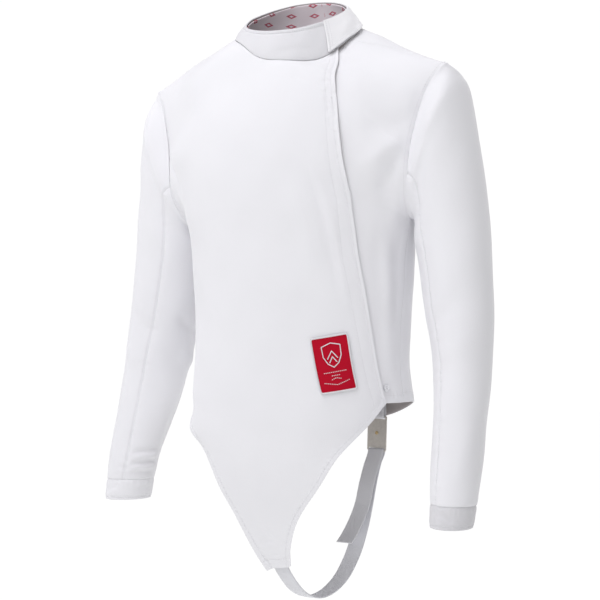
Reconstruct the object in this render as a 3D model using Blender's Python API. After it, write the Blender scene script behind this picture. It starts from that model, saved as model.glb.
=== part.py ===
"""Fencing jacket, filled out as it hangs from the shoulders with nobody in it.

Metres, +Z up. The wearer would face -Y, so +X is the wearer's left. The origin is
halfway between the two shoulder points, where the wearer's shoulders hold it up.
The right front crosses over to the left hip and runs down into a pointed tongue,
which a webbing strap joins to a buckle at the back hem.
"""

import math
from typing import NamedTuple

import bmesh
import bpy
import numpy as np
from mathutils import Vector

CLOTH = 0.0018
LINING = 0.0010
WEBBING = 0.0016
SEAM_GAP = 0.0003
UNDERLAP_SINK = CLOTH + 0.0012
PATCH_GAP = 0.0005
SEAM_ACROSS = 0.0009
SEAM_ROW = 0.0045
SEAM_DEGREES = 0.35
SEAM_CLEAR = 3.0
SHARP_ANGLE = 50.0
PROBE = 1e-3

COLLAR_TOP_RADIUS = 0.0665
COLLAR_TOP_CENTRE = (0.0024, 0.0017)
COLLAR_TOP_Z = 0.0830
COLLAR_TOP_SLOPE = (-0.089, 0.44)
COLLAR_SWELL = 0.0020
COLLAR_GAP = 0.0010
COLLAR_SLIT = 76.0
LINING_TOP, LINING_LOW = 0.97, 0.06
TAB_START, TAB_END, TAB_LOW = 66.0, 128.0, 0.03
TAB_FLARE = 0.0030

FRONT_SEAM, BACK_SEAM = 119.0, 250.0
CUFF_START, CUFF_END = 7.36, 8.0
CUFF_GAP = 0.0065

LABEL_SIZE = (0.045, 0.070)
LABEL_CENTRE = (0.474, 7.46)
LABEL_TURN = 9.5
LABEL_THICK = 0.0008

SNAP_RADIUS, SNAP_THICK = 0.0045, 0.0020
STUD_SIDES, STUD_TAPER = 16, 0.8
SNAP_PLACE = (0.834, 7.79)

STRAP_WIDTH = 0.0235
STRAP_SEWN, STRAP_GAP = 0.75, 0.0014
STRAP_SEWN_ACROSS = 0.2
FOLD_RADIUS = 0.0034
BUCKLE_WIDTH, BUCKLE_HEIGHT, BUCKLE_THICK = 0.030, 0.048, 0.0016
BUCKLE_BAR, BUCKLE_RAIL, BUCKLE_SLOT = 0.0020, 0.0025, 0.0032
BUCKLE_LOW = (0.0662, 0.1000, -0.4925)
BUCKLE_LEAN = 1.7
RIVET_RADIUS, RIVET_THICK, RIVET_HEIGHT = 0.0022, 0.0010, 0.0235
LOOP_TOP_Z = -0.430

ROWS_TO_NECK, ROWS_TO_UNDERARM, ROWS_TO_HEM, ROWS_TO_TIP = 6, 6, 6, 9
HALF_COLUMNS, CROSSED_COLUMNS, LEFT_COLUMNS = 9, 8, 10
SLEEVE_TOP_RING = 3
RINGS_TO_TOP, RINGS_TO_CUFF, CUFF_RINGS, CUFF_SIDES = 7, 8, 2, 20
COLLAR_STEPS, BEND_STEPS, SEWN_STEPS = 3, 6, 2
LABEL_STEPS, SNAP_STEPS = (5, 6), (2, 2)


class NeckPoint(NamedTuple):
    """One place on the neck seam: 0 degrees is the front, 90 the wearer's left."""

    angle: float
    radius: float
    z: float


NECK = [
    NeckPoint(-180, 0.080, 0.078),
    NeckPoint(-135, 0.081, 0.075),
    NeckPoint(-90, 0.082, 0.065),
    NeckPoint(-60, 0.078, 0.055),
    NeckPoint(-28, 0.077, 0.041),
    NeckPoint(0, 0.078, 0.0195),
    NeckPoint(30, 0.079, 0.0135),
    NeckPoint(60, 0.082, 0.0170),
    NeckPoint(90, 0.089, 0.0465),
    NeckPoint(120, 0.086, 0.0675),
    NeckPoint(150, 0.081, 0.077),
    NeckPoint(180, 0.080, 0.078),
]


class ArmholePoint(NamedTuple):
    """One place on the left armhole seam: 0 is the shoulder point, 90 the front."""

    angle: float
    x: float
    y: float
    z: float


ARMHOLE = [
    ArmholePoint(0, 0.2315, 0.000, 0.002),
    ArmholePoint(40, 0.2110, -0.015, -0.029),
    ArmholePoint(75, 0.1960, -0.022, -0.080),
    ArmholePoint(100, 0.1917, -0.026, -0.110),
    ArmholePoint(130, 0.1880, -0.025, -0.148),
    ArmholePoint(155, 0.1800, -0.008, -0.178),
    ArmholePoint(180, 0.1725, 0.015, -0.188),
    ArmholePoint(210, 0.1770, 0.037, -0.178),
    ArmholePoint(240, 0.1870, 0.050, -0.150),
    ArmholePoint(270, 0.1950, 0.056, -0.110),
    ArmholePoint(300, 0.2030, 0.050, -0.065),
    ArmholePoint(330, 0.2160, 0.029, -0.024),
    ArmholePoint(360, 0.2315, 0.000, 0.002),
]


class SidePoint(NamedTuple):
    """One place on the left side seam."""

    z: float
    x: float
    y: float


SIDE = [
    SidePoint(-0.188, 0.1725, 0.0150),
    SidePoint(-0.225, 0.1630, 0.0175),
    SidePoint(-0.275, 0.1595, 0.0180),
    SidePoint(-0.325, 0.1560, 0.0160),
    SidePoint(-0.370, 0.1560, 0.0145),
    SidePoint(-0.420, 0.1602, 0.0160),
]


class PanelRow(NamedTuple):
    """One row across half a panel, from the neck or the centre line to its outer edge.

    The outer edge is the armhole down to the underarm, then the side seam. turn is how
    much of a quarter ellipse the row goes through, fall how late it starts to drop,
    and settle how soon it is level again.
    """

    neck: float
    centre_y: float
    centre_z: float
    armhole: float
    side_z: float
    turn: float
    fall: float
    settle: float = 1.0


NECK_ROW, UNDERARM_ROW, HEM_ROW = 3, 5, 8

FRONT = [
    PanelRow(90, 0.000, 0.000, 0, -0.188, 35, 1.0),
    PanelRow(62, 0.000, 0.000, 40, -0.188, 45, 1.2),
    PanelRow(30, 0.000, 0.000, 75, -0.188, 55, 1.4),
    PanelRow(0, -0.078, 0.0195, 100, -0.188, 64, 1.25),
    PanelRow(0, -0.101, -0.065, 130, -0.188, 70, 1.9),
    PanelRow(0, -0.107, -0.148, 180, -0.188, 86, 2.2),
    PanelRow(0, -0.0985, -0.215, 180, -0.225, 90, 2.0),
    PanelRow(0, -0.0915, -0.325, 180, -0.325, 90, 2.0),
    PanelRow(0, -0.0940, -0.420, 180, -0.420, 90, 2.0),
]

BACK = [
    PanelRow(90, 0.000, 0.000, 360, -0.188, 35, 1.0),
    PanelRow(120, 0.000, 0.000, 335, -0.188, 45, 1.2),
    PanelRow(150, 0.000, 0.000, 310, -0.188, 55, 1.4),
    PanelRow(180, 0.080, 0.078, 285, -0.188, 60, 1.6),
    PanelRow(180, 0.122, -0.020, 250, -0.188, 70, 1.9),
    PanelRow(180, 0.136, -0.120, 180, -0.188, 86, 2.2),
    PanelRow(180, 0.131, -0.205, 180, -0.225, 90, 2.0),
    PanelRow(180, 0.1215, -0.325, 180, -0.325, 90, 2.0),
    PanelRow(180, 0.1245, -0.455, 180, -0.420, 90, 2.0, 3.0),
]


class TongueRow(NamedTuple):
    """One row across the tongue below the hem, with both its edges."""

    centre_y: float
    centre_z: float
    right_x: float
    right_y: float
    right_z: float
    left_x: float
    left_y: float
    left_z: float
    turn: float


TONGUE = [
    TongueRow(-0.0920, -0.462, -0.1475, -0.0340, -0.4590, 0.1400, -0.0362, -0.447, 65),
    TongueRow(-0.0880, -0.503, -0.1052, -0.0600, -0.4865, 0.1100, -0.0610, -0.487, 45),
    TongueRow(-0.0790, -0.540, -0.0724, -0.0680, -0.5315, 0.0865, -0.0675, -0.524, 32),
    TongueRow(-0.0640, -0.577, -0.0515, -0.0580, -0.5735, 0.0492, -0.0605, -0.569, 24),
    TongueRow(-0.0460, -0.6155, -0.0325, -0.0430, -0.6195, 0.0270, -0.0470, -0.609, 18),
    TongueRow(-0.0340, -0.639, -0.0185, -0.0340, -0.6445, 0.0188, -0.0340, -0.635, 14),
]
TIP_ROW = HEM_ROW + len(TONGUE)


class EdgePlace(NamedTuple):
    """How far across the left half an edge is: 0 is the centre or neck, 1 the outer edge."""

    row: float
    across: float


PLACKET = [
    EdgePlace(0.50, 0.000),
    EdgePlace(1.25, 0.212),
    EdgePlace(2.45, 0.430),
    EdgePlace(3.50, 0.515),
    EdgePlace(4.70, 0.560),
    EdgePlace(5.60, 0.575),
    EdgePlace(6.25, 0.615),
    EdgePlace(7.05, 0.715),
    EdgePlace(8.00, 0.810),
]
UNDERLAP = 0.19


class SleeveRing(NamedTuple):
    """One ring of the left sleeve: rise lifts its outer side, swing moves its front out."""

    x: float
    y: float
    z: float
    half_width: float
    rise: float
    half_depth: float
    swing: float


SLEEVE = [
    SleeveRing(0.2115, 0.0130, -0.0995, 0.0305, 0.0890, 0.0500, 0.0020),
    SleeveRing(0.2155, 0.0200, -0.1230, 0.0365, 0.0770, 0.0535, 0.0040),
    SleeveRing(0.2210, 0.0290, -0.2000, 0.0480, 0.0220, 0.0555, 0.0085),
    SleeveRing(0.2350, 0.0230, -0.3000, 0.0448, 0.0040, 0.0499, 0.0074),
    SleeveRing(0.2445, 0.0140, -0.3730, 0.0385, 0.0000, 0.0450, 0.0089),
    SleeveRing(0.2512, -0.0062, -0.4570, 0.0342, 0.0000, 0.0397, 0.0075),
    SleeveRing(0.2566, -0.0263, -0.5200, 0.0307, 0.0000, 0.0332, 0.0038),
    SleeveRing(0.2576, -0.0365, -0.5650, 0.0283, 0.0000, 0.0314, 0.0045),
]


class StrapPoint(NamedTuple):
    """One place on the middle line of the crotch strap's outer face."""

    x: float
    y: float
    z: float


STRAP = [
    StrapPoint(0.0057, -0.0217, -0.6565),
    StrapPoint(0.0133, -0.0053, -0.6755),
    StrapPoint(0.0216, 0.0127, -0.6832),
    StrapPoint(0.0300, 0.0310, -0.6790),
    StrapPoint(0.0380, 0.0482, -0.6660),
    StrapPoint(0.0468, 0.0674, -0.6360),
    StrapPoint(0.0537, 0.0805, -0.5960),
    StrapPoint(0.0570, 0.0870, -0.5660),
    StrapPoint(0.0600, 0.0925, -0.5350),
    StrapPoint(0.0633, 0.0980, -0.5100),
]
STRAP_END = [
    StrapPoint(0.0625, 0.0910, -0.5130),
    StrapPoint(0.0595, 0.0850, -0.5350),
    StrapPoint(0.0558, 0.0780, -0.5660),
    StrapPoint(0.0515, 0.0680, -0.5880),
    StrapPoint(0.0480, 0.0570, -0.6040),
    StrapPoint(0.0465, 0.0490, -0.6120),
]


# ---------------------------------------------------------------- smooth curves


def column(rows, name):
    """One named column of a table."""
    return np.array([getattr(row, name) for row in rows], float)


def smooth(knots, values, at):
    """A curve through the table's values, with no corners, read at the given knots."""
    knots, values = np.asarray(knots, float), np.asarray(values, float)
    slopes = np.gradient(values, knots, axis=0)
    at = np.clip(np.asarray(at, float), knots[0], knots[-1])
    low = np.clip(np.searchsorted(knots, at, side="right") - 1, 0, len(knots) - 2)
    step = knots[low + 1] - knots[low]
    part = (at - knots[low]) / step
    if values.ndim > 1:
        step, part = step[..., None], part[..., None]
    return (
        (2 * part**3 - 3 * part**2 + 1) * values[low]
        + (part**3 - 2 * part**2 + part) * step * slopes[low]
        + (3 * part**2 - 2 * part**3) * values[low + 1]
        + (part**3 - part**2) * step * slopes[low + 1]
    )


def smooth_loop(knots, values, at):
    """The same round a closed curve whose last row repeats its first, over 360 degrees."""
    knots, values = np.asarray(knots, float), np.asarray(values, float)
    around = np.concatenate([knots[:-1] - 360, knots, knots[1:] + 360])
    turned = np.concatenate([values[:-1], values, values[1:]])
    return smooth(around, turned, at)


# ---------------------------------------------------------------- the jacket's form


def neck(angle):
    """A point of the neck seam."""
    radius = smooth_loop(column(NECK, "angle"), column(NECK, "radius"), angle)
    z = smooth_loop(column(NECK, "angle"), column(NECK, "z"), angle)
    turn = np.radians(angle)
    return np.stack([radius * np.sin(turn), -radius * np.cos(turn), z], -1)


def collar_top(angle):
    """A point of the collar's upper edge, which lies in one tilted plane."""
    turn = np.radians(angle)
    x = COLLAR_TOP_CENTRE[0] + COLLAR_TOP_RADIUS * np.sin(turn)
    y = COLLAR_TOP_CENTRE[1] - COLLAR_TOP_RADIUS * np.cos(turn)
    z = COLLAR_TOP_Z + COLLAR_TOP_SLOPE[0] * x + COLLAR_TOP_SLOPE[1] * y
    return np.stack([x, y, z], -1)


def armhole(angle):
    """A point of the left armhole seam."""
    places = np.stack([column(ARMHOLE, axis) for axis in "xyz"], -1)
    return smooth_loop(column(ARMHOLE, "angle"), places, angle)


def armhole_angle(rows, row):
    """The angle on the armhole that a panel's row runs out to."""
    chosen = slice(0, UNDERARM_ROW + 1)
    return smooth(np.arange(UNDERARM_ROW + 1), column(rows, "armhole")[chosen], row)


def side_seam(z):
    """A point of the left side seam."""
    rows = SIDE[::-1]
    x = smooth(column(rows, "z"), column(rows, "x"), z)
    y = smooth(column(rows, "z"), column(rows, "y"), z)
    return np.stack([x, y, z], -1)


def sweep(inner, outer, turn, fall, settle, across):
    """Points part of the way along elliptical rows from inner points to outer ones."""
    turn = np.radians(turn)
    along = np.sin(turn * across) / np.sin(turn)
    back = (1 - np.cos(turn * across)) / (1 - np.cos(turn))
    down = 1 - (1 - across**fall) ** settle
    ways = np.stack([along, back, down], -1)
    return inner + (outer - inner) * ways


def centre_line(rows, row):
    """The y and z of a panel's middle line; the front's goes on down the tongue."""
    below = TONGUE if rows is FRONT else []
    knots = np.arange(NECK_ROW, len(rows) + len(below))
    named = ("centre_y", "centre_z")
    heights = [np.append(column(rows, n)[NECK_ROW:], column(below, n)) for n in named]
    return [smooth(knots, height, row) for height in heights]


def panel_half(rows, side, across, row):
    """Points of half a panel: side is 1 on the wearer's left, -1 on the right."""
    knots = np.arange(len(rows))
    turn = smooth(knots, column(rows, "turn"), row)
    fall = smooth(knots, column(rows, "fall"), row)
    on_neck = (row < NECK_ROW)[..., None]
    centre = np.stack([np.zeros_like(row), *centre_line(rows, row)], -1)
    neck_angle = np.interp(row, knots[: NECK_ROW + 1], column(rows, "neck")[: NECK_ROW + 1])
    inner = np.where(on_neck, neck(side * neck_angle), centre)
    side_z = smooth(knots[UNDERARM_ROW:], column(rows, "side_z")[UNDERARM_ROW:], row)
    on_armhole = (row < UNDERARM_ROW)[..., None]
    outer = np.where(on_armhole, armhole(armhole_angle(rows, row)), side_seam(side_z))
    outer = outer * [side, 1, 1]
    settle = smooth(knots, column(rows, "settle"), row)
    return sweep(inner, outer, turn, fall, settle, across)


def tongue_half(side, across, row):
    """Points of half the tongue, from the hem row down."""
    knots = np.arange(HEM_ROW, TIP_ROW + 1)
    reach = 1.0 if side < 0 else PLACKET[-1].across
    hem_edge = panel_half(FRONT, side, np.array([reach]), np.array([float(HEM_ROW)]))
    edge = "right" if side < 0 else "left"
    places = np.stack([column(TONGUE, f"{edge}_{axis}") for axis in "xyz"], -1)
    outer = smooth(knots, np.vstack([hem_edge, places]), row)
    turn = smooth(knots, np.append(90 * reach, column(TONGUE, "turn")), row)
    inner = np.stack([np.zeros_like(row), *centre_line(FRONT, row)], -1)
    return sweep(inner, outer, turn, 2.0, 1.0, across)


def front(across, row):
    """Points of the front: across runs from -1 (right) to 1 (left), row from 0 down.

    At the neck, -0.0 is the right half's own edge and 0.0 the left half's. Below the
    hem row, -1 and the placket's last place are the tongue's two edges.
    """
    across, row = np.broadcast_arrays(np.asarray(across, float), np.asarray(row, float))
    points = np.empty(across.shape + (3,))
    for side, reach in ((-1, 1.0), (1, PLACKET[-1].across)):
        mine = np.signbit(across) == (side < 0)
        above, below = mine & (row <= HEM_ROW), mine & (row > HEM_ROW)
        share = np.abs(across)
        points[above] = panel_half(FRONT, side, share[above], row[above])
        points[below] = tongue_half(side, share[below] / reach, row[below])
    return points


def back(across, row):
    """Points of the back: across runs from -1 (right) to 1 (left), row from 0 down."""
    across, row = np.broadcast_arrays(np.asarray(across, float), np.asarray(row, float))
    points = np.empty(across.shape + (3,))
    for side in (-1, 1):
        mine = np.signbit(across) == (side < 0)
        points[mine] = panel_half(BACK, side, np.abs(across[mine]), row[mine])
    return points


def placket(row):
    """How far across the left half the crossing edge is."""
    return smooth(column(PLACKET, "row"), column(PLACKET, "across"), row)


def sleeve(angle, ring):
    """Points of the left sleeve: ring 0 is the armhole, the last the cuff's edge."""
    angle, ring = np.broadcast_arrays(np.asarray(angle, float), np.asarray(ring, float))
    turn = np.radians(angle)[..., None]
    knots = np.arange(len(SLEEVE) + 1)
    loops = [armhole(angle) + [SEAM_GAP, 0, 0]]
    for row in SLEEVE:
        centre = np.array([row.x, row.y, row.z])
        outward = np.array([row.half_width, 0, row.rise])
        forward = np.array([row.swing, -row.half_depth, 0])
        loops.append(centre + outward * np.cos(turn) + forward * np.sin(turn))
    loops = np.stack(loops)
    low = np.clip(np.floor(ring).astype(int), 0, len(knots) - 2)
    part = (ring - low)[..., None]
    slopes = np.gradient(loops, axis=0)

    def pick(stack, index):
        return np.take_along_axis(stack, index[None, ..., None], 0)[0]

    return (
        (2 * part**3 - 3 * part**2 + 1) * pick(loops, low)
        + (part**3 - 2 * part**2 + part) * pick(slopes, low)
        + (3 * part**2 - 2 * part**3) * pick(loops, low + 1)
        + (part**3 - part**2) * pick(slopes, low + 1)
    )


def collar(angle, rise):
    """Points of the collar: rise is 0 at the neck seam and 1 at the upper edge."""
    angle, rise = np.broadcast_arrays(np.asarray(angle, float), np.asarray(rise, float))
    low, high = neck(angle), collar_top(angle)
    turn = np.radians(angle)
    outward = np.stack([np.sin(turn), -np.cos(turn), np.zeros_like(turn)], -1)
    swell = COLLAR_SWELL * np.sin(np.pi * rise)[..., None]
    return low + (high - low) * rise[..., None] + outward * swell


def ribbon(path):
    """The surface of a flat strap: across is in metres, along counts the path's points."""
    lengths = np.linalg.norm(np.diff(path, axis=0), axis=1)
    knots = np.append(0, np.cumsum(lengths))

    def surface(across, along):
        across, along = np.broadcast_arrays(across, along)
        middle = smooth(knots, path, np.interp(along, range(len(knots)), knots))
        return middle + across[..., None] * [1.0, 0.0, 0.0]

    return surface


def ribbon_grid(path, width):
    """Two rows of coordinates to each stretch of a strap's path."""
    last = len(path) - 1
    return grid(steps(0, last, 2 * last), np.array([-width / 2, width / 2]))


# ---------------------------------------------------------------- skins and walls


class Skin:
    """A sheet of faces over a surface, joined where its points meet."""

    def __init__(self, surface, grids, flipped=False):
        """grids hold the surface's two coordinates by row and column.

        Faces point out where rows run down and columns run to the viewer's right.
        """
        points, places, faces, known = [], [], [], {}
        for grid in grids:
            placed = surface(grid[..., 0], grid[..., 1])
            index = np.empty(grid.shape[:2], int)
            for spot in np.ndindex(*index.shape):
                key = tuple(np.round(placed[spot], 6))
                if key not in known:
                    known[key] = len(points)
                    points.append(placed[spot])
                    places.append(grid[spot])
                index[spot] = known[key]
            faces += self._faces(index, points, flipped)
        self.points, self.places, self.faces = np.array(points), np.array(places), faces
        self.normals = self._normals()

    @staticmethod
    def _faces(index, points, flipped):
        """Triangles, so that a wall's two sides fold along the same diagonals."""
        found = []
        for r, c in np.ndindex(index.shape[0] - 1, index.shape[1] - 1):
            corners = [index[r, c], index[r + 1, c], index[r + 1, c + 1], index[r, c + 1]]
            a, b, c, d = [int(corner) for corner in corners]
            falling = np.linalg.norm(points[a] - points[c])
            rising = np.linalg.norm(points[b] - points[d])
            halves = [(a, b, c), (a, c, d)] if falling <= rising else [(a, b, d), (b, c, d)]
            found += [list(half) for half in halves if len(set(half)) == 3]
        return [half[::-1] if flipped else half for half in found]

    def _normals(self):
        """The way out at each point, from the faces round it."""
        total = np.zeros_like(self.points)
        for loop in self.faces:
            corners = self.points[loop]
            total[loop] += np.cross(corners[1] - corners[0], corners[2] - corners[0])
        return total / np.linalg.norm(total, axis=1, keepdims=True)

    def move_out(self, height):
        """Move every point along its normal, by one height or a height for each."""
        self.points = self.points + self.normals * np.reshape(height, (-1, 1))
        self.normals = self._normals()
        return self

    def rim(self):
        """The open edges, each in the order its face goes round."""
        edges = [pair for loop in self.faces for pair in zip(loop, loop[1:] + loop[:1])]
        known = set(edges)
        return [(a, b) for a, b in edges if (b, a) not in known]


def grid(rows, columns):
    """Surface coordinates with columns as the first one and rows as the second."""
    columns = np.broadcast_to(columns, (len(rows), np.shape(columns)[-1]))
    return np.stack([columns, np.broadcast_to(np.reshape(rows, (-1, 1)), columns.shape)], -1)


def steps(first, last, count):
    """Evenly spaced values from the first to the last, over a count of steps."""
    return np.linspace(first, last, count + 1)


def square_off(ways, chosen, axis, sign):
    """Keep the chosen ways from leaning over a seam that faces along an axis."""
    ways = ways.copy()
    kept = ways[chosen]
    kept[:, axis] = np.maximum(kept[:, axis] * sign, 0) * sign
    ways[chosen] = kept / np.linalg.norm(kept, axis=1, keepdims=True)
    return ways


def add_mesh(name, points, faces, material):
    """A node of its own from points and faces."""
    mesh = bpy.data.meshes.new(name)
    mesh.from_pydata([tuple(point) for point in points], [], faces)
    mesh.materials.append(material)
    mesh.shade_smooth()
    mesh.set_sharp_from_angle(angle=math.radians(SHARP_ANGLE))
    node = bpy.data.objects.new(name, mesh)
    bpy.context.scene.collection.objects.link(node)
    return node


def add_wall(name, skin, thickness, material, inward=None):
    """A closed wall: the skin outside, the same moved inwards, and a rim round it."""
    inward = -skin.normals if inward is None else inward
    count = len(skin.points)
    points = np.vstack([skin.points, skin.points + inward * thickness])
    faces = [list(loop) for loop in skin.faces]
    faces += [[corner + count for corner in reversed(loop)] for loop in skin.faces]
    faces += [[b, a, a + count, b + count] for a, b in skin.rim()]
    return add_mesh(name, points, faces, material)


def mirror(surface):
    """The same surface on the wearer's other side."""
    return lambda across, along: surface(across, along) * [-1, 1, 1]


# ---------------------------------------------------------------- the pieces


def make_material(name, colour, roughness, metallic=0.0):
    """A plain finish."""
    made = bpy.data.materials.new(name)
    made.use_nodes = True
    shader = made.node_tree.nodes["Principled BSDF"]
    shader.inputs["Base Color"].default_value = (*colour, 1)
    shader.inputs["Roughness"].default_value = roughness
    shader.inputs["Metallic"].default_value = metallic
    return made


def ease(share):
    """From 0 to 1 with a gentle start and end."""
    share = np.clip(share, 0, 1)
    return share * share * (3 - 2 * share)


def body_rows(last):
    """Rows from the shoulder seam down: closer together where the form turns faster."""
    upper = np.append(SEAM_ROW, steps(0, NECK_ROW, ROWS_TO_NECK)[1:-1])
    middle = steps(NECK_ROW, UNDERARM_ROW, ROWS_TO_UNDERARM)[:-1]
    lower = steps(UNDERARM_ROW, HEM_ROW, ROWS_TO_HEM)
    below = steps(HEM_ROW, TIP_ROW, ROWS_TO_TIP)[1:] if last == TIP_ROW else []
    return np.concatenate([upper, middle, lower, below])


def seam_ways(skin, toward_back):
    """Inward ways that stay clear of the neck, shoulder and side seams."""
    across, row = skin.places.T
    on_neck = (across == 0) & (row <= NECK_ROW)
    on_side = (np.abs(across) > 1 - 2 * SEAM_ACROSS) & (row >= UNDERARM_ROW)
    on_shoulder = row < 2 * SEAM_ROW
    ways = square_off(-skin.normals, on_neck, 2, -1)
    return square_off(ways, on_shoulder | on_side, 1, toward_back)


def add_front_right(cloth):
    """The right front, which crosses over to the left hip and ends in the tongue."""
    rows = body_rows(TIP_ROW)
    right = grid(rows, -steps(1 - SEAM_ACROSS, 0, HALF_COLUMNS))
    left_rows = rows[rows >= PLACKET[0].row]
    crossed = steps(0, 1, CROSSED_COLUMNS)
    left = grid(left_rows, crossed * placket(left_rows)[:, None])
    skin = Skin(front, [right, left])
    return add_wall("front_right", skin, CLOTH, cloth, seam_ways(skin, -1))


def left_front_skin(places):
    """The left front, which sinks to pass under the right one."""
    skin = Skin(front, [places])
    across, row = skin.places.T
    near = ease((placket(row) + UNDERLAP - across) / UNDERLAP)
    return skin.move_out(-UNDERLAP_SINK * near * ease(row / PLACKET[0].row))


def add_front_left(cloth):
    """The left front, whose inner edge lies under the right one."""
    rows = body_rows(HEM_ROW)
    first = np.maximum(placket(rows) - UNDERLAP, 0)
    first[rows < PLACKET[0].row] = 0
    share = steps(0, 1, LEFT_COLUMNS)
    outer = 1 - SEAM_ACROSS
    skin = left_front_skin(grid(rows, first[:, None] + share * (outer - first)[:, None]))
    return add_wall("front_left", skin, CLOTH, cloth, seam_ways(skin, -1))


def add_back(cloth):
    """The back, in one piece."""
    rows = body_rows(HEM_ROW)
    right = grid(rows, -steps(1 - SEAM_ACROSS, 0, HALF_COLUMNS))
    left = grid(rows, steps(0, 1 - SEAM_ACROSS, HALF_COLUMNS))
    skin = Skin(back, [right, left], flipped=True)
    return add_wall("back", skin, CLOTH, cloth, seam_ways(skin, 1))


def sleeve_angles(first, last):
    """Angles from one seam to another, meeting the panels' rows at the armhole."""
    rows = body_rows(HEM_ROW)
    rows = np.append(0, rows[(rows > SEAM_ROW) & (rows <= UNDERARM_ROW)])
    met = np.concatenate([armhole_angle(FRONT, rows), armhole_angle(BACK, rows) - 360])
    met = np.unique(np.concatenate([met, met + 360]).round(3))
    inside = (met > first + SEAM_CLEAR) & (met < last - SEAM_CLEAR)
    return np.concatenate([[first + SEAM_DEGREES], met[inside], [last - SEAM_DEGREES]])


def surface_ways(surface, skin, outward):
    """Inward ways square to the surface itself, so that two pieces' walls run side by side."""
    across, row = skin.places.T
    right = surface(across + PROBE, row) - surface(across - PROBE, row)
    down = surface(across, row + PROBE) - surface(across, row - PROBE)
    ways = np.cross(right, down) * outward
    return ways / np.linalg.norm(ways, axis=1, keepdims=True)


def add_sleeve(side, cloth):
    """A sleeve of two pieces and its cuff."""
    surface = sleeve if side == "left" else mirror(sleeve)
    flipped = side == "left"
    away = 1 if side == "left" else -1
    upper = steps(0, SLEEVE_TOP_RING, RINGS_TO_TOP)[:-1]
    rings = np.append(upper, steps(SLEEVE_TOP_RING, CUFF_START, RINGS_TO_CUFF))
    pieces = {"upper": (BACK_SEAM - 360, FRONT_SEAM), "under": (FRONT_SEAM, BACK_SEAM)}
    for piece, seams in pieces.items():
        skin = Skin(surface, [grid(rings, sleeve_angles(*seams))], flipped)
        inward = surface_ways(surface, skin, -away)
        inward = square_off(inward, skin.places[:, 1] == 0, 0, away)
        add_wall(f"sleeve_{side}_{piece}", skin, CLOTH, cloth, inward)
    rings = steps(CUFF_START + CUFF_GAP, CUFF_END, CUFF_RINGS)
    skin = Skin(surface, [grid(rings, steps(0, 360, CUFF_SIDES))], flipped)
    add_wall(f"cuff_{side}", skin, CLOTH, cloth)


def neck_angles(first, last):
    """Angles round the neck, meeting the panels' rows there."""
    rows = body_rows(HEM_ROW)
    rows = np.append(0, rows[(rows > SEAM_ROW) & (rows <= NECK_ROW)])
    knots = range(NECK_ROW + 1)
    named = [column(panel, "neck")[: NECK_ROW + 1] for panel in (FRONT, BACK)]
    met = np.concatenate([np.interp(rows, knots, angles) for angles in named])
    met = np.concatenate([met, -met, met + 360, 360 - met])
    met = np.unique(met.round(3))
    inside = (met > first + SEAM_CLEAR) & (met < last - SEAM_CLEAR)
    return np.concatenate([[first], met[inside], [last]])


def add_collar(cloth, lining):
    """The stand collar, its lining, and the tab that closes over its slit."""
    slit = (COLLAR_SLIT + SEAM_DEGREES, COLLAR_SLIT + 360 - SEAM_DEGREES)

    def surface(angle, rise):
        return collar(angle, rise) + [0, 0, COLLAR_GAP]

    around = neck_angles(*slit)
    band = Skin(surface, [grid(steps(1, 0, COLLAR_STEPS), around)])
    inward = square_off(-band.normals, band.places[:, 1] == 0, 2, 1)
    add_wall("collar", band, CLOTH, cloth, inward)
    inner = Skin(surface, [grid(steps(LINING_TOP, LINING_LOW, COLLAR_STEPS), around)])
    add_wall("collar_lining", inner.move_out(-CLOTH - COLLAR_GAP), LINING, lining)
    over_slit = neck_angles(TAB_START, TAB_END)
    over = Skin(surface, [grid(steps(1, TAB_LOW, COLLAR_STEPS), over_slit)])
    stand_off = CLOTH + COLLAR_GAP + TAB_FLARE * (1 - over.places[:, 1]) ** 2
    add_wall("collar_tab", over.move_out(stand_off), CLOTH, cloth)


def patch_grid(surface, centre, size, turn, counts):
    """Surface coordinates of a rectangle laid on a surface, turned in its own plane."""
    across, row = centre
    right = (surface(across + PROBE, row) - surface(across - PROBE, row)) / (2 * PROBE)
    down = (surface(across, row + PROBE) - surface(across, row - PROBE)) / (2 * PROBE)
    level = right / np.linalg.norm(right)
    fall = down - level * (down @ level)
    fall = fall / np.linalg.norm(fall)
    angle = math.radians(turn)
    wide = level * math.cos(angle) - fall * math.sin(angle)
    tall = level * math.sin(angle) + fall * math.cos(angle)
    to_places = np.linalg.pinv(np.stack([right, down], -1))
    columns, rows = steps(-0.5, 0.5, counts[0]), steps(-0.5, 0.5, counts[1])
    shares = np.stack(np.meshgrid(columns, rows), -1) * size
    ways = shares[..., :1] * wide + shares[..., 1:] * tall
    return np.array(centre) + ways @ to_places.T


def add_label(material):
    """The woven patch near the tongue, laid on the right front."""
    places = patch_grid(front, LABEL_CENTRE, LABEL_SIZE, LABEL_TURN, LABEL_STEPS)
    skin = Skin(front, [places]).move_out(PATCH_GAP + LABEL_THICK)
    return add_wall("label", skin, LABEL_THICK, material)


def add_disc(name, centre, normal, radius, thickness, material):
    """A round stud standing on a point, with its axis along the normal."""
    shape = bmesh.new()
    bmesh.ops.create_cone(
        shape,
        cap_ends=True,
        segments=STUD_SIDES,
        radius1=radius,
        radius2=STUD_TAPER * radius,
        depth=thickness,
    )
    mesh = bpy.data.meshes.new(name)
    shape.to_mesh(mesh)
    shape.free()
    mesh.materials.append(material)
    node = bpy.data.objects.new(name, mesh)
    normal = Vector(normal).normalized()
    node.rotation_euler = normal.to_track_quat("Z", "Y").to_euler()
    node.location = Vector(centre) + normal * thickness / 2
    bpy.context.scene.collection.objects.link(node)
    return node


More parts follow.
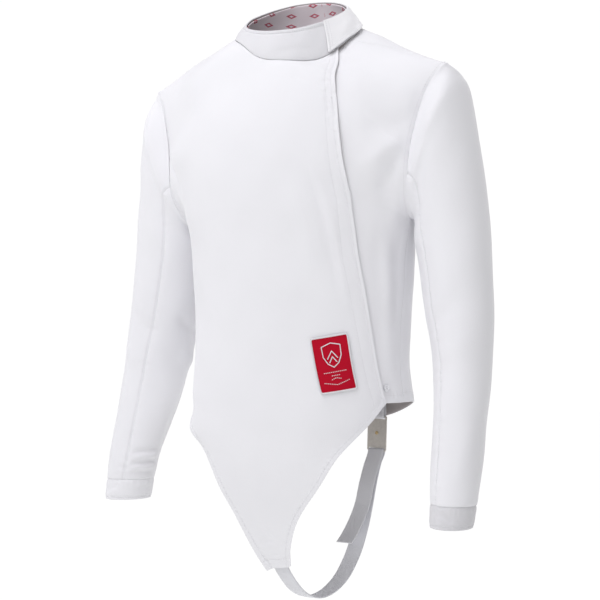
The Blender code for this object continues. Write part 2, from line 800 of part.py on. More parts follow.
def add_snap(metal):
    """The snap's cap on the left front, beside the crossing edge."""
    places = patch_grid(front, SNAP_PLACE, (SNAP_RADIUS, SNAP_RADIUS), 0, SNAP_STEPS)
    skin = left_front_skin(places)
    middle = int(np.argmin(np.abs(skin.places - SNAP_PLACE).sum(1)))
    normal = skin.normals[middle]
    centre = skin.points[middle] + normal * PATCH_GAP
    add_disc("snap", centre, normal, SNAP_RADIUS, SNAP_THICK, metal)


def bend(centre, first, last):
    """An arc of a strap's outer face round a bar that runs along X."""
    turns = np.radians(np.linspace(first, last, BEND_STEPS))
    ways = np.stack([np.zeros(BEND_STEPS), np.cos(turns), np.sin(turns)], -1)
    return np.array(centre) + FOLD_RADIUS * ways


def add_strap(webbing):
    """From behind the tongue's tip, under and up over the buckle's bar, and down again."""
    rows = steps(TIP_ROW - STRAP_SEWN, TIP_ROW, SEWN_STEPS)
    sewn = Skin(front, [grid(rows, steps(0, STRAP_SEWN_ACROSS, 1))])
    sewn.move_out(-CLOTH - STRAP_GAP)
    behind = sewn.points[sewn.places[:, 0] == 0]
    fold = bend(BUCKLE_LOW, 0, 180)
    path = np.vstack([behind, STRAP, fold, STRAP_END])
    skin = Skin(ribbon(path), [ribbon_grid(path, STRAP_WIDTH)])
    add_wall("strap", skin, WEBBING, webbing)


def buckle_point(height):
    """The middle of the buckle at a height above its lower bar's middle line."""
    lean = math.radians(BUCKLE_LEAN)
    return np.array(BUCKLE_LOW) + height * np.array([math.sin(lean), 0, math.cos(lean)])


def add_strap_loop(webbing):
    """The short loop inside the back hem, folded round the buckle's upper bar."""
    bar = buckle_point(BUCKLE_HEIGHT - BUCKLE_BAR)
    fold = bend(bar, 0, -180)
    above = [[*fold[0][:2], LOOP_TOP_Z], [*fold[0][:2], (LOOP_TOP_Z + bar[2]) / 2]]
    after = [[*fold[-1][:2], row[2]] for row in reversed(above)]
    path = np.vstack([above, fold, after])
    skin = Skin(ribbon(path), [ribbon_grid(path, STRAP_WIDTH)], flipped=True)
    add_wall("strap_loop", skin, WEBBING, webbing)


def add_box(name, size, z):
    """A box centred on the Z axis at a height."""
    shape = bmesh.new()
    bmesh.ops.create_cube(shape, size=1.0)
    bmesh.ops.scale(shape, vec=size, verts=shape.verts)
    bmesh.ops.translate(shape, vec=(0, 0, z), verts=shape.verts)
    mesh = bpy.data.meshes.new(name)
    shape.to_mesh(mesh)
    shape.free()
    node = bpy.data.objects.new(name, mesh)
    bpy.context.scene.collection.objects.link(node)
    return node


def add_buckle(metal):
    """A flat plate with a slot for the loop and one for the strap, and a rivet."""
    rest = bpy.data.objects.new("buckle_place", None)
    rest.location = buckle_point(-BUCKLE_BAR / 2)
    rest.rotation_euler = (0, math.radians(BUCKLE_LEAN), 0)
    bpy.context.scene.collection.objects.link(rest)
    size = (BUCKLE_WIDTH, BUCKLE_THICK, BUCKLE_HEIGHT)
    plate = add_box("buckle", size, BUCKLE_HEIGHT / 2)
    plate.data.materials.append(metal)
    plate.parent = rest
    slot = (BUCKLE_WIDTH - 2 * BUCKLE_RAIL, 4 * BUCKLE_THICK, BUCKLE_SLOT)
    inset = BUCKLE_BAR + BUCKLE_SLOT / 2
    for place, z in (("low", inset), ("high", BUCKLE_HEIGHT - inset)):
        cutter = add_box(f"slot_{place}", slot, z)
        cutter.parent = rest
        cutter.hide_render = True
        cutter.display_type = "WIRE"
        cut = plate.modifiers.new(f"slot_{place}", "BOOLEAN")
        cut.object = cutter
    face = Vector((0, -1, 0))
    on_face = Vector(buckle_point(RIVET_HEIGHT)) + face * (BUCKLE_THICK / 2 + SEAM_GAP)
    add_disc("buckle_rivet", on_face, face, RIVET_RADIUS, RIVET_THICK, metal)


def clear_scene():
    """Start from an empty scene."""
    for node in list(bpy.data.objects):
        bpy.data.objects.remove(node, do_unlink=True)


def main():
    """Make every piece of the jacket."""
    clear_scene()
    cloth = make_material("white_cloth", (0.86, 0.87, 0.90), 0.75)
    lining = make_material("grey_lining", (0.42, 0.40, 0.40), 0.8)
    red = make_material("red_label", (0.50, 0.01, 0.04), 0.6)
    webbing = make_material("grey_webbing", (0.55, 0.56, 0.60), 0.7)
    metal = make_material("satin_metal", (0.55, 0.53, 0.50), 0.4, 1.0)
    add_front_right(cloth)
    add_front_left(cloth)
    add_back(cloth)
    for side in ("left", "right"):
        add_sleeve(side, cloth)
    add_collar(cloth, lining)
    add_label(red)
    add_snap(metal)
    add_strap(webbing)
    add_strap_loop(webbing)
    add_buckle(metal)


if __name__ == "__main__":
    main()
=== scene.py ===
"""Looks of a fencing jacket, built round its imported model.

Metres, +Z up, +X to the wearer's left, -Y the way the wearer faces. The cloth pieces
are fine shells on the same form as their plain solids. Folds, hems, seams and puckers
move the shells' points; stitches are laid along lines by one Geometry Nodes group.
"""

from __future__ import annotations

import logging
import math
from dataclasses import dataclass, field
from enum import Enum
from typing import Any, Callable, NamedTuple, Sequence

import bpy
import numpy as np
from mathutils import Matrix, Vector

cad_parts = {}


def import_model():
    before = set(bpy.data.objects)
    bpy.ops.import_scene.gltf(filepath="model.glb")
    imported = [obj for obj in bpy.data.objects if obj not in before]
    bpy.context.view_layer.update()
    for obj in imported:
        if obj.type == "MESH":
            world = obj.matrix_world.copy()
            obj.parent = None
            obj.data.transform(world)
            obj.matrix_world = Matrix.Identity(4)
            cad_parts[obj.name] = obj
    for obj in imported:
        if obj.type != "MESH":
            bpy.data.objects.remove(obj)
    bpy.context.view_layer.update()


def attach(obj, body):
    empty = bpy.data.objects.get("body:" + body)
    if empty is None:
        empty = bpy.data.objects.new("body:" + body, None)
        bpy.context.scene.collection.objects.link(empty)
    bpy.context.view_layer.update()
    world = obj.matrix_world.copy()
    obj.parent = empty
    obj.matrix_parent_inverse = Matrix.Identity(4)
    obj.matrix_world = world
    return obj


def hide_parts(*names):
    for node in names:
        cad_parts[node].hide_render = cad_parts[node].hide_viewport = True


log = logging.getLogger("jacket")

Surface = Callable[[np.ndarray, np.ndarray], np.ndarray]
Colour = tuple[float, float, float]
BODY = "root"
PROBE = 1e-3

# ------------------------------------------------------------------ sizes, in metres

CLOTH = 0.0018
LINING = 0.0010
WEBBING = 0.0016
COLLAR_GAP = 0.0010
PATCH_GAP = 0.0005
UNDERLAP_SINK = CLOTH + 0.0012
SEAM_ACROSS = 0.0001
SEAM_ROW = 0.0006
SEAM_DEGREES = 0.03

COLLAR_TOP_RADIUS, COLLAR_TOP_Z = 0.0665, 0.0830
COLLAR_TOP_CENTRE, COLLAR_TOP_SLOPE = (0.0024, 0.0017), (-0.089, 0.44)
COLLAR_SWELL, COLLAR_SLIT = 0.0020, 76.0
TAB_START, TAB_END, TAB_FLARE = 66.0, 128.0, 0.0030
FRONT_SEAM, BACK_SEAM = 119.0, 250.0
CUFF_START, CUFF_END, CUFF_GAP = 7.36, 8.0, 0.0065

LABEL_SIZE, LABEL_THICK = (0.045, 0.070), 0.0008
LABEL_CENTRE, LABEL_TURN = (0.474, 7.46), 9.5
SNAP_RADIUS, SNAP_THICK, SNAP_PLACE = 0.0045, 0.0020, (0.834, 7.79)
STRAP_WIDTH, STRAP_SEWN, STRAP_GAP, FOLD_RADIUS = 0.0235, 0.75, 0.0014, 0.0034
BUCKLE_WIDTH, BUCKLE_HEIGHT, BUCKLE_THICK = 0.030, 0.048, 0.0016
BUCKLE_BAR, BUCKLE_RAIL, BUCKLE_SLOT = 0.0020, 0.0025, 0.0032
BUCKLE_LOW, BUCKLE_LEAN = (0.0662, 0.1000, -0.4925), 1.7
RIVET_RADIUS, RIVET_THICK, RIVET_HEIGHT, RIVET_GAP = 0.0022, 0.0010, 0.0235, 0.0003
LOOP_TOP_Z = -0.430
UNDERLAP = 0.19
NECK_ROW, UNDERARM_ROW, HEM_ROW = 3, 5, 8

# ------------------------------------------------------------------ the form's tables

# Angle (0 the front, 90 the wearer's left), radius and height of the neck seam.
NECK = np.array([
    (-180, 0.080, 0.078), (-135, 0.081, 0.075), (-90, 0.082, 0.065), (-60, 0.078, 0.055),
    (-28, 0.077, 0.041), (0, 0.078, 0.0195), (30, 0.079, 0.0135), (60, 0.082, 0.0170),
    (90, 0.089, 0.0465), (120, 0.086, 0.0675), (150, 0.081, 0.077), (180, 0.080, 0.078),
])  # fmt: skip

# Angle (0 the shoulder point, 90 the front) and x, y, z of the left armhole seam.
ARMHOLE = np.array([
    (0, 0.2315, 0.000, 0.002), (40, 0.2110, -0.015, -0.029), (75, 0.1960, -0.022, -0.080),
    (100, 0.1917, -0.026, -0.110), (130, 0.1880, -0.025, -0.148),
    (155, 0.1800, -0.008, -0.178), (180, 0.1725, 0.015, -0.188),
    (210, 0.1770, 0.037, -0.178), (240, 0.1870, 0.050, -0.150),
    (270, 0.1950, 0.056, -0.110), (300, 0.2030, 0.050, -0.065),
    (330, 0.2160, 0.029, -0.024), (360, 0.2315, 0.000, 0.002),
])  # fmt: skip

# z, x, y of the left side seam, from the hem up.
SIDE = np.array([
    (-0.420, 0.1602, 0.0160), (-0.370, 0.1560, 0.0145), (-0.325, 0.1560, 0.0160),
    (-0.275, 0.1595, 0.0180), (-0.225, 0.1630, 0.0175), (-0.188, 0.1725, 0.0150),
])  # fmt: skip


class PanelRow(NamedTuple):
    """One row across half a panel, from the neck or the centre line to its outer edge."""

    neck: float
    centre_y: float
    centre_z: float
    armhole: float
    side_z: float
    turn: float
    fall: float
    settle: float = 1.0


FRONT = [
    PanelRow(90, 0.000, 0.000, 0, -0.188, 35, 1.0),
    PanelRow(62, 0.000, 0.000, 40, -0.188, 45, 1.2),
    PanelRow(30, 0.000, 0.000, 75, -0.188, 55, 1.4),
    PanelRow(0, -0.078, 0.0195, 100, -0.188, 64, 1.25),
    PanelRow(0, -0.101, -0.065, 130, -0.188, 70, 1.9),
    PanelRow(0, -0.107, -0.148, 180, -0.188, 86, 2.2),
    PanelRow(0, -0.0985, -0.215, 180, -0.225, 90, 2.0),
    PanelRow(0, -0.0915, -0.325, 180, -0.325, 90, 2.0),
    PanelRow(0, -0.0940, -0.420, 180, -0.420, 90, 2.0),
]
BACK = [
    PanelRow(90, 0.000, 0.000, 360, -0.188, 35, 1.0),
    PanelRow(120, 0.000, 0.000, 335, -0.188, 45, 1.2),
    PanelRow(150, 0.000, 0.000, 310, -0.188, 55, 1.4),
    PanelRow(180, 0.080, 0.078, 285, -0.188, 60, 1.6),
    PanelRow(180, 0.122, -0.020, 250, -0.188, 70, 1.9),
    PanelRow(180, 0.136, -0.120, 180, -0.188, 86, 2.2),
    PanelRow(180, 0.131, -0.205, 180, -0.225, 90, 2.0),
    PanelRow(180, 0.1215, -0.325, 180, -0.325, 90, 2.0),
    PanelRow(180, 0.1245, -0.455, 180, -0.420, 90, 2.0, 3.0),
]

# Centre y, z; right edge x, y, z; left edge x, y, z; turn, for rows below the hem.
TONGUE = np.array([
    (-0.0920, -0.462, -0.1475, -0.0340, -0.4590, 0.1400, -0.0362, -0.447, 65),
    (-0.0880, -0.503, -0.1052, -0.0600, -0.4865, 0.1100, -0.0610, -0.487, 45),
    (-0.0790, -0.540, -0.0724, -0.0680, -0.5315, 0.0865, -0.0675, -0.524, 32),
    (-0.0640, -0.577, -0.0515, -0.0580, -0.5735, 0.0492, -0.0605, -0.569, 24),
    (-0.0460, -0.6155, -0.0325, -0.0430, -0.6195, 0.0270, -0.0470, -0.609, 18),
    (-0.0340, -0.639, -0.0185, -0.0340, -0.6445, 0.0188, -0.0340, -0.635, 14),
])  # fmt: skip
TIP_ROW = HEM_ROW + len(TONGUE)

# Row and how far across the left half the crossing edge is.
PLACKET = np.array([
    (0.50, 0.000), (1.25, 0.212), (2.45, 0.430), (3.50, 0.515), (4.70, 0.560),
    (5.60, 0.575), (6.25, 0.615), (7.05, 0.715), (8.00, 0.810),
])  # fmt: skip
PLACKET_END = PLACKET[-1, 1]

# x, y, z, half width, rise, half depth and swing of the left sleeve's rings.
SLEEVE = np.array([
    (0.2115, 0.0130, -0.0995, 0.0305, 0.0890, 0.0500, 0.0020),
    (0.2155, 0.0200, -0.1230, 0.0365, 0.0770, 0.0535, 0.0040),
    (0.2210, 0.0290, -0.2000, 0.0480, 0.0220, 0.0555, 0.0085),
    (0.2350, 0.0230, -0.3000, 0.0448, 0.0040, 0.0499, 0.0074),
    (0.2445, 0.0140, -0.3730, 0.0385, 0.0000, 0.0450, 0.0089),
    (0.2512, -0.0062, -0.4570, 0.0342, 0.0000, 0.0397, 0.0075),
    (0.2566, -0.0263, -0.5200, 0.0307, 0.0000, 0.0332, 0.0038),
    (0.2576, -0.0365, -0.5650, 0.0283, 0.0000, 0.0314, 0.0045),
])  # fmt: skip

# The crotch strap's outer face, from the tongue to the buckle and down again.
STRAP = [
    (0.0057, -0.0217, -0.6565), (0.0133, -0.0053, -0.6755), (0.0216, 0.0127, -0.6832),
    (0.0300, 0.0310, -0.6790), (0.0380, 0.0482, -0.6660), (0.0468, 0.0674, -0.6360),
    (0.0537, 0.0805, -0.5960), (0.0570, 0.0870, -0.5660), (0.0600, 0.0925, -0.5350),
    (0.0633, 0.0980, -0.5100),
]  # fmt: skip
STRAP_END = [
    (0.0625, 0.0910, -0.5130), (0.0595, 0.0850, -0.5350), (0.0558, 0.0780, -0.5660),
    (0.0515, 0.0680, -0.5880), (0.0480, 0.0570, -0.6040), (0.0465, 0.0490, -0.6120),
]  # fmt: skip


# ------------------------------------------------------------------ the form


def hermite(
    part: np.ndarray, low: np.ndarray, high: np.ndarray, leave: np.ndarray, reach: np.ndarray
) -> np.ndarray:
    """Part of the way between two values, with a slope at each.

    Args:
        part: How far on, from 0 to 1.
        low: The value at 0.
        high: The value at 1.
        leave: The slope at 0.
        reach: The slope at 1.

    Returns:
        The values between.
    """
    square, cube = part**2, part**3
    return (
        (2 * cube - 3 * square + 1) * low
        + (cube - 2 * square + part) * leave
        + (3 * square - 2 * cube) * high
        + (cube - square) * reach
    )


def smooth(knots: np.ndarray, values: np.ndarray, at: np.ndarray) -> np.ndarray:
    """Read a curve without corners through the values.

    Args:
        knots: Where the values stand, rising.
        values: One value, or one row of values, for each knot.
        at: Where to read the curve; it is held level past its ends.

    Returns:
        The values read, with one more axis where the values are rows.
    """
    knots, values = np.asarray(knots, float), np.asarray(values, float)
    slopes = np.gradient(values, knots, axis=0)
    at = np.clip(np.asarray(at, float), knots[0], knots[-1])
    low = np.clip(np.searchsorted(knots, at, side="right") - 1, 0, len(knots) - 2)
    step = knots[low + 1] - knots[low]
    part = (at - knots[low]) / step
    if values.ndim > 1:
        step, part = step[..., None], part[..., None]
    leave, reach = step * slopes[low], step * slopes[low + 1]
    return hermite(part, values[low], values[low + 1], leave, reach)


def smooth_loop(knots: np.ndarray, values: np.ndarray, at: np.ndarray) -> np.ndarray:
    """Read a closed curve, whose last row repeats its first 360 degrees on."""
    around = np.concatenate([knots[:-1] - 360, knots, knots[1:] + 360])
    return smooth(around, np.concatenate([values[:-1], values, values[1:]]), at)


def column(rows: Sequence[PanelRow], name: str) -> np.ndarray:
    """One named column of a panel's table."""
    return np.array([getattr(row, name) for row in rows], float)


def ease(share: np.ndarray) -> np.ndarray:
    """A soft step from 0 to 1."""
    share = np.clip(share, 0, 1)
    return share * share * (3 - 2 * share)


def neck(angle: np.ndarray) -> np.ndarray:
    """Points of the neck seam."""
    radius, z = smooth_loop(NECK[:, 0], NECK[:, 1:], angle).T
    turn = np.radians(angle).T
    return np.stack([radius * np.sin(turn), -radius * np.cos(turn), z], 0).T


def collar(angle: np.ndarray, rise: np.ndarray) -> np.ndarray:
    """Points of the collar: rise is 0 at the neck seam and 1 at the upper edge."""
    angle, rise = np.broadcast_arrays(np.asarray(angle, float), np.asarray(rise, float))
    turn = np.radians(angle)
    outward = np.stack([np.sin(turn), -np.cos(turn), np.zeros_like(turn)], -1)
    high = outward * COLLAR_TOP_RADIUS + [*COLLAR_TOP_CENTRE, 0]
    high[..., 2] = COLLAR_TOP_Z + high[..., :2] @ np.array(COLLAR_TOP_SLOPE)
    low = neck(angle)
    swell = COLLAR_SWELL * np.sin(np.pi * rise)[..., None]
    return low + (high - low) * rise[..., None] + outward * swell + [0, 0, COLLAR_GAP]


def armhole(angle: np.ndarray) -> np.ndarray:
    """Points of the left armhole seam."""
    return smooth_loop(ARMHOLE[:, 0], ARMHOLE[:, 1:], angle)


def sweep(
    inner: np.ndarray,
    outer: np.ndarray,
    turn: np.ndarray,
    fall: np.ndarray | float,
    settle: np.ndarray | float,
    across: np.ndarray,
) -> np.ndarray:
    """Points part of the way along elliptical rows.

    Args:
        inner: Where the rows start.
        outer: Where they end.
        turn: How much of a quarter ellipse they go through, in degrees.
        fall: How late they start to drop.
        settle: How soon they are level again.
        across: How far along, from 0 to 1.

    Returns:
        The points.
    """
    turn = np.radians(turn)
    along = np.sin(turn * across) / np.sin(turn)
    back = (1 - np.cos(turn * across)) / (1 - np.cos(turn))
    down = 1 - (1 - np.minimum(across, 1) ** fall) ** settle
    return inner + (outer - inner) * np.stack([along, back, down], -1)


def centre_line(rows: Sequence[PanelRow], row: np.ndarray) -> np.ndarray:
    """The middle line of a panel; the front's goes on down the tongue."""
    heights = np.stack([column(rows, "centre_y"), column(rows, "centre_z")], -1)[NECK_ROW:]
    if rows is FRONT:
        heights = np.vstack([heights, TONGUE[:, :2]])
    found = smooth(NECK_ROW + np.arange(len(heights)), heights, row)
    return np.concatenate([np.zeros_like(found[..., :1]), found], -1)


def panel_half(
    rows: Sequence[PanelRow], side: int, across: np.ndarray, row: np.ndarray
) -> np.ndarray:
    """Points of half a panel: side is 1 on the wearer's left, -1 on the right."""
    knots = np.arange(len(rows))
    turn, fall, settle = (smooth(knots, column(rows, n), row) for n in ("turn", "fall", "settle"))
    top = slice(0, NECK_ROW + 1)
    neck_angle = np.interp(row, knots[top], column(rows, "neck")[top])
    on_neck = (row < NECK_ROW)[..., None]
    inner = np.where(on_neck, neck(side * neck_angle), centre_line(rows, row))
    arm = slice(0, UNDERARM_ROW + 1)
    arm_angle = smooth(knots[arm], column(rows, "armhole")[arm], row)
    side_z = smooth(knots[UNDERARM_ROW:], column(rows, "side_z")[UNDERARM_ROW:], row)
    seam = np.concatenate([smooth(SIDE[:, 0], SIDE[:, 1:], side_z), side_z[..., None]], -1)
    on_armhole = (row < UNDERARM_ROW)[..., None]
    outer = np.where(on_armhole, armhole(arm_angle), seam) * [side, 1, 1]
    return sweep(inner, outer, turn, fall, settle, across)


def tongue_half(side: int, across: np.ndarray, row: np.ndarray) -> np.ndarray:
    """Points of half the tongue, from the hem row down."""
    knots = np.arange(HEM_ROW, TIP_ROW + 1)
    reach = 1.0 if side < 0 else PLACKET_END
    hem_edge = panel_half(FRONT, side, np.array([reach]), np.array([float(HEM_ROW)]))
    places = TONGUE[:, 2:5] if side < 0 else TONGUE[:, 5:8]
    outer = smooth(knots, np.vstack([hem_edge, places]), row)
    turn = smooth(knots, np.append(90 * reach, TONGUE[:, 8]), row)
    return sweep(centre_line(FRONT, row), outer, turn, 2.0, 1.0, across)


def front(across: np.ndarray, row: np.ndarray) -> np.ndarray:
    """Points of the front: across runs from -1 (right) to 1 (left), row from 0 down."""
    across, row = np.broadcast_arrays(np.asarray(across, float), np.asarray(row, float))
    points = np.empty(across.shape + (3,))
    for side, reach in ((-1, 1.0), (1, PLACKET_END)):
        mine = np.signbit(across) == (side < 0)
        above, below = mine & (row <= HEM_ROW), mine & (row > HEM_ROW)
        share = np.abs(across)
        points[above] = panel_half(FRONT, side, share[above], row[above])
        points[below] = tongue_half(side, share[below] / reach, row[below])
    return points


def back(across: np.ndarray, row: np.ndarray) -> np.ndarray:
    """Points of the back: across runs from -1 (right) to 1 (left), row from 0 down."""
    across, row = np.broadcast_arrays(np.asarray(across, float), np.asarray(row, float))
    points = np.empty(across.shape + (3,))
    for side in (-1, 1):
        mine = np.signbit(across) == (side < 0)
        points[mine] = panel_half(BACK, side, np.abs(across[mine]), row[mine])
    return points


def placket(row: np.ndarray) -> np.ndarray:
    """How far across the left half the crossing edge is."""
    return smooth(PLACKET[:, 0], PLACKET[:, 1], row)


def underlap(places: np.ndarray) -> np.ndarray:
    """How far the left front stands off, below zero where it passes under the right one."""
    across, row = places.T
    near = ease((placket(row) + UNDERLAP - across) / UNDERLAP) * ease(row / PLACKET[0, 0])
    return -UNDERLAP_SINK * near


def sleeve(angle: np.ndarray, ring: np.ndarray) -> np.ndarray:
    """Points of the left sleeve: ring 0 is the armhole, the last the cuff's edge."""
    angle, ring = np.broadcast_arrays(np.asarray(angle, float), np.asarray(ring, float))
    turn = np.radians(angle)[..., None]
    loops = [armhole(angle)]
    for x, y, z, half_width, rise, half_depth, swing in SLEEVE:
        outward, forward = np.array([half_width, 0, rise]), np.array([swing, -half_depth, 0])
        loops.append(np.array([x, y, z]) + outward * np.cos(turn) + forward * np.sin(turn))
    stack = np.stack(loops)
    slopes = np.gradient(stack, axis=0)
    low = np.clip(np.floor(ring).astype(int), 0, len(SLEEVE) - 1)
    part = (ring - low)[..., None]

    def pick(values: np.ndarray, index: np.ndarray) -> np.ndarray:
        """The values of each point's own ring."""
        return np.take_along_axis(values, index[None, ..., None], 0)[0]

    ends = pick(stack, low), pick(stack, low + 1), pick(slopes, low), pick(slopes, low + 1)
    return hermite(part, *ends)


def mirror(surface: Surface) -> Surface:
    """The same surface on the wearer's other side."""
    return lambda across, along: surface(across, along) * [-1, 1, 1]


def ribbon(path: np.ndarray) -> Surface:
    """A flat strap's surface: across is in metres, along counts the path's points."""
    lengths = np.linalg.norm(np.diff(path, axis=0), axis=1)
    knots = np.append(0, np.cumsum(lengths))

    def surface(across: np.ndarray, along: np.ndarray) -> np.ndarray:
        """Points of this strap."""
        across, along = np.broadcast_arrays(np.asarray(across, float), along)
        middle = smooth(knots, path, np.interp(along, range(len(knots)), knots))
        return middle + across[..., None] * [1.0, 0.0, 0.0]

    return surface


def bend(centre: Sequence[float], first: float, last: float, count: int = 9) -> np.ndarray:
    """An arc of a strap's outer face round a bar that runs along X."""
    turns = np.radians(np.linspace(first, last, count))
    ways = np.stack([np.zeros(count), np.cos(turns), np.sin(turns)], -1)
    return np.array(centre) + FOLD_RADIUS * ways


def buckle_point(height: float) -> np.ndarray:
    """The middle of the buckle at a height above its lower bar's middle line."""
    lean = math.radians(BUCKLE_LEAN)
    return np.array(BUCKLE_LOW) + height * np.array([math.sin(lean), 0, math.cos(lean)])


# ------------------------------------------------------------------ lines on a surface


def tangents(
    surface: Surface, across: np.ndarray, row: np.ndarray
) -> tuple[np.ndarray, np.ndarray]:
    """The surface's change for each unit of its two coordinates.

    The step stays on the point's own side of zero, where a panel's halves may part.
    """
    across, row = np.broadcast_arrays(np.asarray(across, float), np.asarray(row, float))
    right = np.signbit(across)
    low = np.where(right, across - PROBE, np.maximum(across - PROBE, 0.0))
    high = np.where(right, np.minimum(across + PROBE, -0.0), across + PROBE)
    high = np.where(right & (high == 0), -0.0, high)
    wide = (surface(high, row) - surface(low, row)) / (high - low)[..., None]
    below = np.where((row <= HEM_ROW) & (row + PROBE > HEM_ROW), row, row + PROBE)
    tall = surface(across, below) - surface(across, row - PROBE)
    return wide, tall / (below - row + PROBE)[..., None]


def way_out(surface: Surface, across: np.ndarray, row: np.ndarray, sign: int) -> np.ndarray:
    """Unit ways out of a surface: sign is -1 where rows run down and columns leftward."""
    wide, tall = tangents(surface, across, row)
    ways = np.cross(tall, wide) * sign
    return ways / np.linalg.norm(ways, axis=-1, keepdims=True)


def inset(surface: Surface, places: np.ndarray, distance: float | np.ndarray) -> np.ndarray:
    """Move a line of places sideways over a surface, by metres.

    Args:
        surface: The surface the places are on.
        places: The line's two coordinates, one row for each point.
        distance: How far: towards lower first coordinates for a line that goes up the
            second one, and towards higher second coordinates for one that goes up the first.

    Returns:
        The moved places, on the same surface.
    """
    points = surface(places[:, 0], places[:, 1])
    along = np.gradient(points, axis=0)
    wide, tall = tangents(surface, places[:, 0], places[:, 1])
    out = np.cross(tall, wide)
    aside = np.cross(along, out)
    aside *= np.reshape(distance, (-1, 1)) / np.linalg.norm(aside, axis=1, keepdims=True)
    basis = np.stack([wide, tall], -1)
    return places + np.einsum("nij,nj->ni", np.linalg.pinv(basis), aside)


def line(*places: tuple[float, float], count: int = 40) -> np.ndarray:
    """A smooth line of places through a few given ones."""
    knots = np.linspace(0, 1, len(places))
    return smooth(knots, np.array(places, float), np.linspace(0, 1, count))


def along_edge(across: Callable | float, first: float, last: float, count: int = 90) -> np.ndarray:
    """A line of places down a panel's edge, which may be a function of the row."""
    rows = np.linspace(first, last, count)
    columns = across(rows) if callable(across) else np.full(count, across)
    return np.stack([columns, rows], -1)


def nearest(points: np.ndarray, path: np.ndarray) -> tuple[np.ndarray, np.ndarray]:
    """Each point's distance from a path, and how far along it the nearest place is."""
    best = np.full(len(points), np.inf)
    where = np.zeros(len(points))
    start = 0.0
    for a, b in zip(path[:-1], path[1:]):
        way = b - a
        length = float(np.linalg.norm(way))
        if length < 1e-9:
            continue
        share = np.clip((points - a) @ way / length**2, 0, 1)
        gap = np.linalg.norm(points - a - share[:, None] * way, axis=1)
        closer = gap < best
        best[closer] = gap[closer]
        where[closer] = start + share[closer] * length
        start += length
    return best, where


# ------------------------------------------------------------------ relief on the cloth


class Shape(Enum):
    """How a relief's height changes with the distance from its line."""

    FOLD = "fold"
    STEP = "step"
    SEAM = "seam"
    PUCKER = "pucker"


@dataclass(frozen=True)
class Relief:
    """A change of height along a line on a panel.

    Attributes:
        places: The line, in the panel's own coordinates.
        height: In metres; below zero is a trough.
        width: How far from the line it reaches, in metres.
        shape: FOLD is a soft ridge, STEP a band, SEAM a groove, PUCKER short ripples.
        fade: The share of the line over which each end runs out.
        pitch: A pucker's spacing along the line, in metres.
    """

    places: np.ndarray
    height: float
    width: float
    shape: Shape = Shape.FOLD
    fade: float = 0.35
    pitch: float = 0.006

    def lift(self, surface: Surface, points: np.ndarray) -> np.ndarray:
        """The relief's height at points of the plain surface."""
        path = surface(self.places[:, 0], self.places[:, 1])
        reach = 3 * self.width
        low, high = path.min(0) - reach, path.max(0) + reach
        near = np.flatnonzero(((points > low) & (points < high)).all(1))
        height = np.zeros(len(points))
        if not len(near):
            return height
        gap, where = nearest(points[near], path)
        length = np.linalg.norm(np.diff(path, axis=0), axis=1).sum()
        height[near] = self._profile(gap, where, length)
        return height

    def _profile(self, gap: np.ndarray, where: np.ndarray, length: float) -> np.ndarray:
        """The height at gaps from the line, and at places along its length."""
        ends = 1.0
        if self.fade > 0:
            run = self.fade * length
            ends = ease(where / run) * ease((length - where) / run)
        share = gap / self.width
        if self.shape is Shape.FOLD:
            return self.height * np.exp(-(share**2)) * ends
        if self.shape is Shape.STEP:
            return self.height * ease((1.0 - share) / 0.18 + 0.5) * ends
        if self.shape is Shape.SEAM:
            return self.height * np.exp(-np.abs(share) ** 1.4) * ends
        turn = 2 * np.pi * where / self.pitch
        uneven = np.sin(turn + 1.7 * np.sin(0.23 * turn)) * (0.7 + 0.3 * np.sin(0.31 * turn))
        return self.height * uneven * np.exp(-(share**2)) * ends


def unevenness(points: np.ndarray, height: float, length: float) -> np.ndarray:
    """A slow, slight rise and fall all over, from a few crossed waves."""
    ways = np.array([(1.0, 0.2, 0.35), (-0.3, 0.9, 0.55), (0.45, -0.5, 1.0), (0.8, 0.7, -0.6)])
    scales, starts = np.array([1.0, 1.37, 1.91, 2.53]), np.array([0.4, 2.1, 4.0, 5.3])
    turns = (points @ ways.T) * (2 * np.pi * scales / length) + starts
    return height * (np.sin(turns) / scales).sum(1)


# ------------------------------------------------------------------ shells


